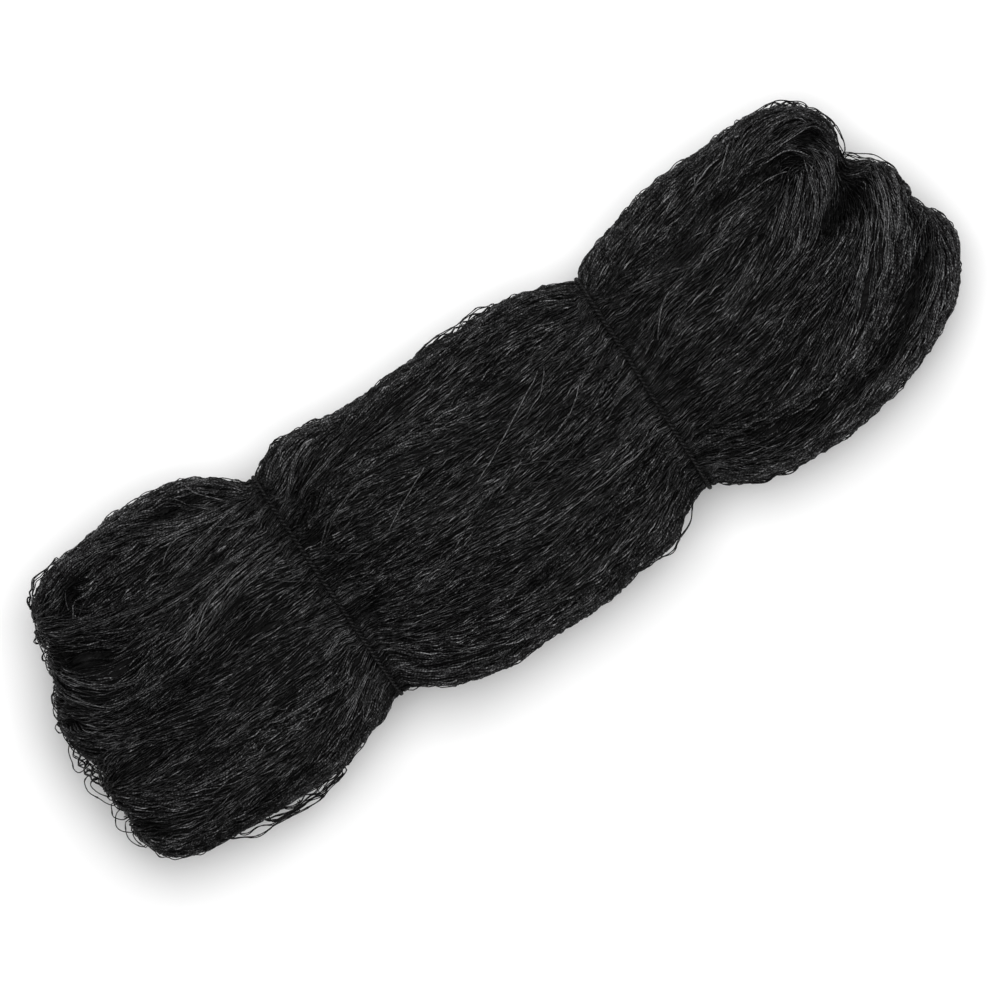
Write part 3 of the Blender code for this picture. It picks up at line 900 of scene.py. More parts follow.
class FlowField(PlanGrid):
    """The direction in plan in which strands lie, anywhere over the hank."""

    def __init__(self) -> None:
        """Blend the flow lines over a grid."""
        super().__init__(4 * MM)
        places, turns = [], []
        for routes in FLOW_LINES.values():
            for route in routes:
                line = smooth_line(laid_out(route), 5 * MM)
                heading = np.gradient(line, axis=0)
                double = 2 * np.arctan2(heading[:, 1], heading[:, 0])
                places.append(line)
                turns.append(np.stack([np.cos(double), np.sin(double)], axis=1))
        self.blend(np.vstack(places), np.vstack(turns), 5 * MM)

    def heading(self, x: float, y: float) -> float:
        """The strands' angle at a place in plan.

        Args:
            x: the place along X, in metres.
            y: the place along Y, in metres.

        Returns:
            The angle from +X in radians, with no sense of forward or back.
        """
        u = min(max((x - self.low[0]) / self.cell, 0.0), self.counts[0] - 1.001)
        v = min(max((y - self.low[1]) / self.cell, 0.0), self.counts[1] - 1.001)
        i, j = int(u), int(v)
        fu, fv = u - i, v - j
        t = self.table
        c, s = ((t[i, j] * (1 - fu) + t[i + 1, j] * fu) * (1 - fv)
                + (t[i, j + 1] * (1 - fu) + t[i + 1, j + 1] * fu) * fv)
        return 0.5 * math.atan2(s, c)


class Skin:
    """The smooth outside of the hank, which strands are laid on."""

    reach = 14 * MM
    foot = 2.5 * MM
    underside = 0.93
    off_cord = 0.55 * MM
    lowest = 0.6 * MM
    # Painted shade darkens the strands beside each tie cord.
    painted_cord_shade = 0.2
    painted_cord_shade_reach = 3.5 * MM
    neck_reach = 24 * MM

    def __init__(self, node: bpy.types.Object) -> None:
        """Weld, subdivide and index the hank's own solid.

        Args:
            node: the frame's object of the gathered net.
        """
        work = bmesh.new()
        work.from_mesh(node.data)
        bmesh.ops.remove_doubles(work, verts=work.verts, dist=0.00001)
        self.plain = bpy.data.meshes.new("net_core")
        work.to_mesh(self.plain)
        work.free()
        holder = placed("skin_work", self.plain)
        finer = holder.modifiers.new("finer", "SUBSURF")
        finer.levels = 1
        finer.render_levels = 1
        bpy.context.view_layer.update()
        graph = bpy.context.evaluated_depsgraph_get()
        mesh = bpy.data.meshes.new_from_object(holder.evaluated_get(graph))
        bpy.data.objects.remove(holder)
        self.points, self.normals = mesh_rows(mesh, "co"), mesh_rows(mesh, "normal")
        faces = [tuple(face.vertices) for face in mesh.polygons]
        mesh.calc_loop_triangles()
        corners = np.empty(len(mesh.loop_triangles) * 3, np.int32)
        mesh.loop_triangles.foreach_get("vertices", corners)
        self.corners = corners.reshape(-1, 3)
        bpy.data.meshes.remove(mesh)
        self.tree = BVHTree.FromPolygons([tuple(p) for p in self.points], faces)
        self.relief = Relief()
        self.rim = Rim(self.tree)
        self.rings = [TieRing(name) for name in ("tie_left", "tie_right")]

    def scatter(self, draw: np.random.Generator, count: int) -> np.ndarray:
        """Places spread evenly over the skin, its underside left out.

        Args:
            draw: the random generator.
            count: how many places.

        Returns:
            The places, one to a row.
        """
        a, b, c = (self.points[self.corners[:, k]] for k in range(3))
        cross = np.cross(b - a, c - a)
        area = np.linalg.norm(cross, axis=1)
        area[(a[:, 2] < self.foot) | (cross[:, 2] < -self.underside * area)] = 0
        rows = draw.choice(len(area), count, p=area / area.sum())
        u, v = np.sort(draw.random((2, count)), axis=0)[:, :, None]
        return a[rows] * u + b[rows] * (v - u) + c[rows] * (1 - v)

    def nearest(self, point: Vector) -> tuple[Vector, Vector]:
        """The nearest place on the skin.

        Args:
            point: any point.

        Returns:
            The place and the outward direction there.
        """
        place, normal, _, _ = self.tree.find_nearest(point)
        return place, normal

    def shape(self, points: np.ndarray, outward: np.ndarray) -> tuple[np.ndarray, np.ndarray]:
        """The folds and the rim at places on the skin.

        Args:
            points: the places, one to a row.
            outward: the outward directions there.

        Returns:
            The height over the plain skin in metres, and the painted shading there.
        """
        height, painted_shading = self.relief.at(points).T
        level = np.clip(1 - outward[:, 2] ** 2, 0, 1)
        return height + self.rim.at(points)[:, 0] * level, painted_shading

    def settle(self, points: np.ndarray, outward: np.ndarray,
               lift: np.ndarray) -> tuple[np.ndarray, np.ndarray, np.ndarray]:
        """Lay points on the hank, down into its folds and under its ties.

        Args:
            points: points near the skin, in order along a strand, one to a row.
            outward: the way out of the hank at each.
            lift: the height of each over the skin, below zero for inside it.

        Returns:
            The laid points and the outward directions, one to a row, and the painted shading there: the
            folds' painted shade and highlights, and painted shade beside the ties.
        """
        laid = np.empty_like(points)
        away = np.empty_like(points)
        for row, (point, way) in enumerate(zip(points, outward)):
            out = Vector(way)
            place, normal, _, _ = self.tree.ray_cast(Vector(point) + out * self.reach, -out, 2 * self.reach)
            if place is None or normal.dot(out) < 0.1:
                place, normal, _, _ = self.tree.find_nearest(Vector(point))
            laid[row] = place
            away[row] = normal
        away = evened(away, 2)
        height, painted_shading = self.shape(laid, away)
        laid = laid + away * (lift + height)[:, None]
        for ring in self.rings:
            laid = ring.bed(laid, lift, self.off_cord)
            # painted shade beside the tie cord
            painted_shading = painted_shading - self.painted_cord_shade * np.exp(-((ring.offset(laid) / self.painted_cord_shade_reach) ** 2))
        laid[:, 2] = np.maximum(laid[:, 2], self.lowest)
        return laid, away, painted_shading

    def neck_share(self, points: np.ndarray) -> np.ndarray:
        """How near points are to a tie: 1 at the tie and 0 in a lobe."""
        shares = [np.exp(-((ring.offset(points) / self.neck_reach) ** 2)) for ring in self.rings]
        return np.max(shares, axis=0)


def plan_to_skin(angle: float, normal: Vector) -> Vector:
    """A plan direction laid over onto a sloping or upright face.

    Args:
        angle: the direction in plan, from +X in radians.
        normal: the face's outward direction.

    Returns:
        The direction in the face.
    """
    flat = Vector((math.cos(angle), math.sin(angle), 0.0))
    lean = flat.dot(normal) / max(1.0 + normal.z, 0.05)
    return (flat - Vector((normal.x, normal.y, normal.z + 1.0)) * lean).normalized()


# ---------------------------------------------------------------------------
# Strands
# ---------------------------------------------------------------------------


@dataclass
class Strand:
    """One strand of twine: its middle line, the way out of the hank, its radius and its tone, with any
    painted shading and glints added in.
    """

    points: np.ndarray
    outward: np.ndarray
    radius: np.ndarray
    tone: np.ndarray


class TwineBundle:
    """Strands gathered into pieces of one mesh each, with three-sided tubes."""

    sides = 3

    def __init__(self, name: str, finish: TwineFinish, slot: str) -> None:
        """Start a bundle.

        Args:
            name: the name of its pieces, which are numbered.
            finish: the twine's finish.
            slot: the record's material slot; not used.
        """
        self.name = name
        self.finish = finish
        self.slot = slot
        self.strands: list[Strand] = []
        self.total = 0

    def add(self, strand: Strand) -> None:
        """Add a strand of two points or more, and count its triangles."""
        if len(strand.points) > 1:
            self.strands.append(strand)
            self.total += self.triangles(strand)

    def triangles(self, strand: Strand) -> int:
        """How many triangles a strand takes."""
        return (len(strand.points) - 1) * self.sides * 2 + 2 * (self.sides - 2)

    def build(self) -> list[bpy.types.Object]:
        """Make the pieces.

        Returns:
            The pieces, each within the triangle limit.
        """
        groups: list[list[Strand]] = [[]]
        filled = 0
        for strand in self.strands:
            cost = self.triangles(strand)
            if filled + cost > PIECE_TRIANGLES:
                groups.append([])
                filled = 0
            groups[-1].append(strand)
            filled += cost
        pieces = []
        for number, group in enumerate(groups, start=1):
            if group:
                pieces.append(self._piece(f"{self.name}_{number}", group))
        return pieces

    def _rings(self, strand: Strand) -> np.ndarray:
        """The tube's rings.

        Args:
            strand: the strand.

        Returns:
            The ring points, ring by ring, one to a row.
        """
        along = unit(np.gradient(strand.points, axis=0))
        across = unit(np.cross(strand.outward, along))
        up = np.cross(along, across)
        angles = np.pi / 2 + 2 * np.pi * np.arange(self.sides) / self.sides
        offset = (across[:, None, :] * np.cos(angles)[None, :, None]
                  + up[:, None, :] * np.sin(angles)[None, :, None])
        rings = strand.points[:, None, :] + offset * strand.radius[:, None, None]
        return rings.reshape(-1, 3)

    def _piece(self, name: str, strands: list[Strand]) -> bpy.types.Object:
        """Make one piece.

        Args:
            name: the piece's name.
            strands: its strands.

        Returns:
            The object, which rides on the hank.
        """
        n = self.sides
        points, quads, caps, tones, runs = [], [], [], [], []
        quad_uv, cap_uv = [], []
        base = 0
        share = 1.0 / len(strands)
        for index, strand in enumerate(strands):
            count = len(strand.points)
            points.append(self._rings(strand))
            tones.append(np.repeat(strand.tone, n))
            run = run_along(strand.points)
            runs.append(np.repeat(run / MM, n))
            ring = np.arange(count - 1)[:, None] * n + base
            side = np.arange(n)[None, :]
            ahead = (side + 1) % n
            quads.append(np.stack([ring + side, ring + ahead, ring + n + ahead, ring + n + side],
                                  axis=-1).reshape(-1, 4))
            last = base + (count - 1) * n
            caps.append([tuple(range(base + n - 1, base - 1, -1)), tuple(range(last, last + n))])
            length = run / run[-1] * 0.98 + 0.01
            low = np.repeat(length[:-1], n)
            high = np.repeat(length[1:], n)
            first = (index + 0.1 + 0.8 * np.tile(np.arange(n) / n, count - 1)) * share
            second = first + 0.8 * share / n
            quad_uv.append(np.stack([first, low, second, low, second, high, first, high], axis=1))
            cap_uv.append(np.array([[(index + 0.5) * share, 0.005] * n, [(index + 0.5) * share, 0.995] * n]))
            base += count * n
        faces = np.vstack(quads).tolist()
        for pair in caps:
            faces.extend(pair)
        flat = np.concatenate([np.vstack(quad_uv).ravel(), np.vstack(cap_uv).ravel()])
        mesh = twine_mesh(name, points, faces, flat, np.concatenate(tones), np.concatenate(runs))
        mesh.materials.append(self.finish.material(len(strands)))
        piece = placed(name, mesh)
        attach(piece, "root")
        return piece


class Wander:
    """A slow random wave along a length, with a mean of 0 and a size of about 1."""

    def __init__(self, draw: np.random.Generator, longest: float, shortest: float, waves: int = 4) -> None:
        """Draw its waves.

        Args:
            draw: the random generator.
            longest: the longest wavelength.
            shortest: the shortest wavelength.
            waves: how many waves it has.
        """
        self.turns = 2 * np.pi / draw.uniform(shortest, longest, waves)
        self.starts = draw.uniform(0, 2 * np.pi, waves)
        self.sizes = draw.uniform(0.5, 1.0, waves)
        self.sizes /= np.sqrt((self.sizes**2).sum() / 2)

    def at(self, run: np.ndarray) -> np.ndarray:
        """The wave's height at each distance along the length."""
        return (np.sin(run[:, None] * self.turns + self.starts) * self.sizes).sum(axis=1)


# Where a strand has more points, each side of a tie that it passes under, in millimetres.
TIE_STATIONS = (-2.8, -1.6, 1.6, 2.8)


class Knots(Enum):
    """Where a strand has its points along each bar of the net, from its knot, in millimetres."""

    FINE = (0.0, 1.3, 4.5, 7.7, 10.9, 14.1, 17.3, 20.5, 23.7)
    SHAPED = (0.0, 1.3, 5.8, 10.2, 14.7, 19.2, 23.7)
    PLAIN = (0.0, 6.25, 12.5, 18.75)


@dataclass(frozen=True)
class LayerPlan:
    """How one layer of gathered net lies over the hank.

    Lengths are in millimetres and angles in degrees.
    """

    name: str
    finish: TwineFinish
    seed: int
    depth: float
    depth_play: float
    strands: tuple[int, int]
    pitch: float
    knots: Knots
    lean: float
    tones: tuple[float, float]
    triangles: int
    longest: float
    radius: float
    weave: float = 0.9
    crimp: float = 0.6
    bar: float = 25.0
    slack_chance: float = 0.0
    # share of strands that get a painted glint along a stretch
    painted_glint_chance: float = 0.0
    full: float = 8.0
    reach: float = 2.8
    low_start: float = 0.0


@dataclass
class NetLayer:
    """One layer of the gathered net, laid strip by strip where it is thinnest."""

    plan: LayerPlan
    skin: Skin
    flow: FlowField
    step: float = 5 * MM
    place_count: int = 16_000
    low_face: float = -0.6
    thin_gap: float = 60 * MM
    thin_margin: float = 24 * MM
    sink_run: float = 22 * MM
    sink_mm: float = 3.5
    draw: np.random.Generator = field(init=False)

    def __post_init__(self) -> None:
        """Start the layer's own random draws and its record of what is covered."""
        self.draw = np.random.default_rng(self.plan.seed)
        self.places = self.skin.scatter(self.draw, self.place_count)
        self.tree = KDTree(len(self.places))
        for index, place in enumerate(self.places):
            self.tree.insert(place, index)
        self.tree.balance()
        self.cover = self.draw.uniform(0, 0.5, len(self.places))
        for index, place in enumerate(self.places):
            rise = self.skin.nearest(Vector(place))[1].z
            if rise < self.low_face:
                self.cover[index] += max(self.plan.full - 1.0, 0.0)
            elif rise < 0.0:
                self.cover[index] += self.plan.low_start

    def trace(self, start: Vector, lean: float, length: float) -> tuple[np.ndarray, np.ndarray]:
        """Follow the lie of the strands both ways from a place on the skin.

        Args:
            start: the place.
            lean: an angle added to the lie, in radians.
            length: the longest run each way, in metres.

        Returns:
            The points of the line and the outward directions, one to a row.
        """
        sway = Wander(self.draw, 0.5, 0.15)
        arms = []
        for sense in (1.0, -1.0):
            place, normal = self.skin.nearest(start)
            heading = None
            arm = []
            run = 0.0
            while run < length:
                angle = self.flow.heading(place.x, place.y) + lean
                angle += math.radians(3.0) * float(sway.at(np.array([sense * run]))[0])
                way = plan_to_skin(angle, normal)
                if heading is None:
                    way *= sense
                elif way.dot(heading) < 0:
                    way = -way
                heading = way if heading is None else (way * 0.8 + heading * 0.2).normalized()
                arm.append((place.copy(), normal.copy()))
                place, normal = self.skin.nearest(place + heading * self.step)
                run += self.step
                if place.z < 2 * MM or normal.z < -0.95:
                    break
            arms.append(arm)
        line = [*reversed(arms[1]), *arms[0][1:]]
        return np.array([p for p, _ in line]), np.array([n for _, n in line])

    def _past_ties(self, at: np.ndarray, knots: np.ndarray,
                   points: np.ndarray) -> tuple[np.ndarray, np.ndarray]:
        """Add the points that a strand needs to pass under the ties.

        Args:
            at: the distances of its points along the strip.
            knots: which of them are knots.
            points: the points, one to a row.

        Returns:
            The distances with those added, and which are knots.
        """
        for ring in self.skin.rings:
            offset = ring.offset(points)
            base = at
            for row in np.flatnonzero(offset[:-1] * offset[1:] < 0):
                share = offset[row] / (offset[row] - offset[row + 1])
                added = base[row] + share * (base[row + 1] - base[row]) + np.array(TIE_STATIONS) * MM
                kept = np.abs(at[:, None] - added[None, :]).min(axis=1) > 1.0 * MM
                at = np.concatenate([at[kept], added])
                knots = np.concatenate([knots[kept], np.zeros(len(added), bool)])
                order = np.argsort(at)
                at, knots = at[order], knots[order]
            points = read_at(at, base, points)
        return at, knots

    def strip(self, points: np.ndarray, outward: np.ndarray, count: int, bundle: TwineBundle) -> None:
        """Lay one strip of net along a line.

        Args:
            points: the line's points.
            outward: the outward directions there.
            count: how many strands it has.
            bundle: takes the strands.
        """
        plan, draw = self.plan, self.draw
        run = run_along(points)
        bars = int(run[-1] / (plan.bar * MM))
        if bars < 2:
            return
        outward = evened(outward, 3)
        at = (np.arange(bars)[:, None] * plan.bar + np.array(plan.knots.value)[None, :]).ravel() * MM
        knots = np.arange(len(at)) % len(plan.knots.value) == 0
        middle = read_at(at, run, points)
        out = unit(read_at(at, run, outward))
        along = read_at(at, run, np.gradient(points, axis=0))
        across = unit(np.cross(out, along))
        neck = self.skin.neck_share(middle)
        spread = (1 - 0.30 * neck) * (1 + 0.22 * Wander(draw, 0.30, 0.10).at(at))
        pitch = plan.pitch * MM * np.clip(spread, 0.45, 1.8)
        ride = plan.depth + plan.depth_play * Wander(draw, 0.25, 0.08).at(at)
        calm = 1 - 0.5 * neck
        phase = at / (plan.bar * MM) + draw.uniform(0, 2)
        strip_tone = draw.uniform(*plan.tones)
        for j in range(count):
            turn = np.pi * (phase + j)
            zigzag = 2 / np.pi * np.arcsin(np.cos(turn))
            pull = np.maximum(pitch / 2 - plan.radius * MM, 0) * (0.45 * np.cos(turn) + 0.55 * zigzag)
            crimp = Wander(draw, 0.030, 0.008, 5).at(at) * plan.crimp + draw.uniform(-0.14, 0.14, len(at))
            lateral = (j - (count - 1) / 2) * pitch + pull + crimp * MM * calm
            weave = Wander(draw, 0.035, 0.011, 4).at(at) * calm
            height = ride + plan.weave * weave
            if draw.random() < plan.slack_chance:
                height = height + draw.uniform(0.8, 2.2) * self._swell(at, 18, 42)
            # The tone gets painted light: lighter where the weave lifts the strand and darker where it dips,
            # and on some strands a painted glint along a stretch.
            tone = 0.45 * strip_tone + 0.55 * draw.uniform(*plan.tones)
            tone = tone + 0.10 * weave + 0.08 * Wander(draw, 0.06, 0.012).at(at)
            if draw.random() < plan.painted_glint_chance:
                tone = tone + draw.uniform(0.2, 0.4) * self._swell(at, 8, 22)
            path = middle + across * lateral[:, None]
            for first, last in self._thin_runs(path, at):
                part = slice(first, last)
                rows = np.column_stack([path, out, height, tone])[part]
                self._lay(rows, at[part], knots[part], bundle)

    def _thin_runs(self, path: np.ndarray, at: np.ndarray) -> list[tuple[int, int]]:
        """The stretches of a strand that the layer still needs.

        Args:
            path: the strand's points near the skin, one to a row.
            at: the distances of its points along the strip.

        Returns:
            The first row of each stretch, and the row after its last.
        """
        near = np.array([self.tree.find(point)[1] for point in path])
        thin = at[self.cover[near] < self.plan.full]
        runs = []
        while len(thin):
            stop = np.flatnonzero(np.diff(thin) > self.thin_gap)
            last = stop[0] if len(stop) else len(thin) - 1
            span = [thin[0] - self.thin_margin, thin[last] + self.thin_margin]
            first_row, last_row = np.searchsorted(at, span)
            if last_row - first_row > 5:
                runs.append((int(first_row), int(last_row)))
            thin = thin[last + 1:]
        return runs

    def _lay(self, rows: np.ndarray, at: np.ndarray, knots: np.ndarray, bundle: TwineBundle) -> None:
        """Lay one strand and count what it covers.

        Args:
            rows: a point, an outward direction, a height in millimetres and a tone to a row.
            at: the distances of its points along the strip.
            knots: which of them are knots.
            bundle: takes the strand.
        """
        plan = self.plan
        spots, knotted = self._past_ties(at, knots, rows[:, :3])
        rows = read_at(spots, at, rows)
        ends = np.minimum(spots - spots[0], spots[-1] - spots)
        sink = np.clip(1 - ends / self.sink_run, 0, 1) ** 2 * self.sink_mm
        bare = rows[:, :3]
        laid, away, painted_shading = self.skin.settle(bare, unit(rows[:, 3:6]), (rows[:, 6] - sink) * MM)
        radius = np.where(knotted, plan.radius * self.draw.uniform(1.45, 1.9), plan.radius) * MM
        # the tone takes the painted shading of the folds and ties
        bundle.add(Strand(laid, away, radius, np.clip(rows[:, 7] + painted_shading, 0, 1)))
        for point in bare[sink < 2]:
            place, _ = self.skin.nearest(Vector(point))
            for _, index, _ in self.tree.find_range(place, plan.reach * MM):
                self.cover[index] += 1

    def _swell(self, at: np.ndarray, shortest: float, longest: float) -> np.ndarray:
        """A rise from 0 to 1 and back over a random stretch.

        Args:
            at: the distances along the strand, in metres.
            shortest: the least half length of the stretch, in millimetres.
            longest: the greatest.

        Returns:
            The rise at each distance.
        """
        centre = self.draw.uniform(at[0], at[-1])
        half = self.draw.uniform(shortest, longest) * MM
        share = np.clip(1 - np.abs(at - centre) / half, 0, 1)
        return np.sin(share * np.pi / 2) ** 2

    def build(self) -> list[bpy.types.Object]:
        """Lay the whole layer.

        Returns:
            Its pieces.
        """
        plan, draw = self.plan, self.draw
        bundle = TwineBundle(plan.name, plan.finish, TWINE_SLOT)
        while bundle.total < plan.triangles:
            left = 1 - bundle.total / plan.triangles
            seed = int(np.argmin(self.cover))
            count = round(draw.uniform(plan.strands[0], plan.strands[1]) * (0.5 + 0.5 * left))
            lean = math.radians(draw.normal(0, plan.lean))
            length = draw.uniform(0.25, 1.0) * plan.longest * MM * (0.3 + 0.7 * left)
            points, outward = self.trace(Vector(self.places[seed]), lean, length)
            self.cover[seed] += 1
            if len(points) >= 6:
                self.strip(points, outward, max(count, 2), bundle)
        return bundle.build()


# ---------------------------------------------------------------------------
# The other pieces
# ---------------------------------------------------------------------------


@dataclass
class PackedCore:
    """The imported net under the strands, a little inside the hank's outside."""

    skin: Skin
    inset: float = 4.8 * MM
    off_cord: float = 3.5 * MM
    flat_below: float = 0.5 * MM

    def build(self) -> bpy.types.Object:
        """Make the core.

        Returns:
            The object, which stands for the gathered net's solid.
        """
        mesh = self.skin.plain
        points, normals = mesh_rows(mesh, "co"), mesh_rows(mesh, "normal")
        flat = points[:, 2] < self.flat_below
        height, _ = self.skin.shape(points, normals)
        deep = np.full(len(points), -self.inset)
        inner = points + normals * (deep + height)[:, None]
        for ring in self.skin.rings:
            inner = ring.bed(inner, deep, self.off_cord)
        inner[flat, 2] = 0.0
        inner[:, 2] = np.maximum(inner[:, 2], 0.0)
        mesh.vertices.foreach_set("co", inner.ravel())
        mesh.materials.clear()
        mesh.materials.append(PACKED_NET_SHADE.material())
        mesh.shade_smooth()
        core = placed("net_core", mesh)
        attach(core, "root")
        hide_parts("net_hank")
        return core


@dataclass
class CrossingStrands:
    """Lone strands and small gathers of strands that lie on top of the others."""

    skin: Skin
    flow: FlowField
    seed: int = 71
    count: int = 40
    radius: float = 0.5 * MM
    gather: tuple[float, ...] = (-1.3, 0.0, 1.2)
    least_points: int = 8
    lone_tone: float = 0.72
    lone_over: float = 1.7
    gather_tones: tuple[float, float] = (0.48, 0.68)
    gather_over: float = 1.0
    stray_tones: tuple[float, float] = (0.30, 0.50)
    stray_over: float = 0.9

    def build(self) -> list[bpy.types.Object]:
        """Lay the strands.

        Returns:
            The pieces.
        """
        draw = np.random.default_rng(self.seed)
        bundle = TwineBundle("crossing_strands", NET_TWINE, TWINE_SLOT)
        for route in LONE_LINES:
            points, outward = self._dropped(smooth_line(laid_out(route), 4 * MM))
            self._lay(points, outward, bundle, draw, self.lone_tone, self.lone_over)
        for route in GATHER_LINES:
            line = smooth_line(laid_out(route), 4 * MM)
            aside = sideways(np.gradient(line, axis=0))
            for shift in self.gather:
                first, cut = draw.integers(0, len(line) // 4 + 1, 2)
                start, end = (first, len(line) + 1 - cut) if cut else (0, first)
                part = slice(start, end) if end - start >= self.least_points else slice(None)
                points, outward = self._dropped((line + aside * shift * MM)[part])
                tone = draw.uniform(*self.gather_tones)
                self._lay(points, outward, bundle, draw, tone, self.gather_over)
        plan = LayerPlan("crossing", NET_TWINE, self.seed, 0.8, 0.2, (1, 1), 3.0, Knots.PLAIN, 0.0,
                         (0.5, 0.9), 0, 0.0, 0.5)
        layer = NetLayer(plan, self.skin, self.flow)
        tops = np.flatnonzero(self.skin.normals[:, 2] > 0.1)
        for _ in range(self.count):
            start = Vector(self.skin.points[int(draw.choice(tops))])
            lean = math.radians(draw.choice([-1, 1]) * draw.uniform(10, 28))
            points, outward = layer.trace(start, lean, draw.uniform(0.013, 0.030))
            if len(points) > 4:
                tone = draw.uniform(*self.stray_tones)
                self._lay(points, outward, bundle, draw, tone, self.stray_over)
        return bundle.build()

    def _dropped(self, line: np.ndarray) -> tuple[np.ndarray, np.ndarray]:
        """Bring a line in plan down onto the hank.

        Args:
            line: its points in plan, one to a row.

        Returns:
            The points on the skin and the outward directions there, one to a row.
        """
        points, outward = [], []
        for x, y in line:
            place, normal, _, _ = self.skin.tree.ray_cast(Vector((x, y, 0.2)), Vector((0, 0, -1)))
            points.append(place if place is not None else Vector((x, y, 0.1)))
            outward.append(normal if place is not None else Vector((0, 0, 1)))
        return np.array(points), np.array(outward)

    def _lay(self, points: np.ndarray, outward: np.ndarray, bundle: TwineBundle, draw: np.random.Generator,
             tone: float, over: float) -> None:
        """Lay one strand.

        Args:
            points: its points on the skin, one to a row.
            outward: the way out of the hank at each.
            bundle: takes the strand.
            draw: the random generator.
            tone: how light it is, 0 to 1.
            over: how far it lies over the skin, in millimetres.
        """
        run = run_along(points)
        ends = np.minimum(run, run[-1] - run)
        lift = over - 3.0 * np.clip(1 - ends / (10 * MM), 0, 1) ** 2 + 0.3 * Wander(draw, 0.06, 0.02).at(run)
        moved = points.copy()
        moved[:, :2] += (Wander(draw, 0.05, 0.016).at(run) * 0.35 * MM)[:, None] * np.array([[0.3, 1.0]])
        laid, out, painted_shading = self.skin.settle(moved, evened(outward, 2), lift * MM)
        radius = np.full(len(laid), self.radius)
        radius[int(draw.integers(6))::6] *= 1.5
        # the tone takes the folds' and ties' painted shading at half strength
        bundle.add(Strand(laid, out, radius, np.clip(tone + 0.5 * painted_shading, 0, 1)))


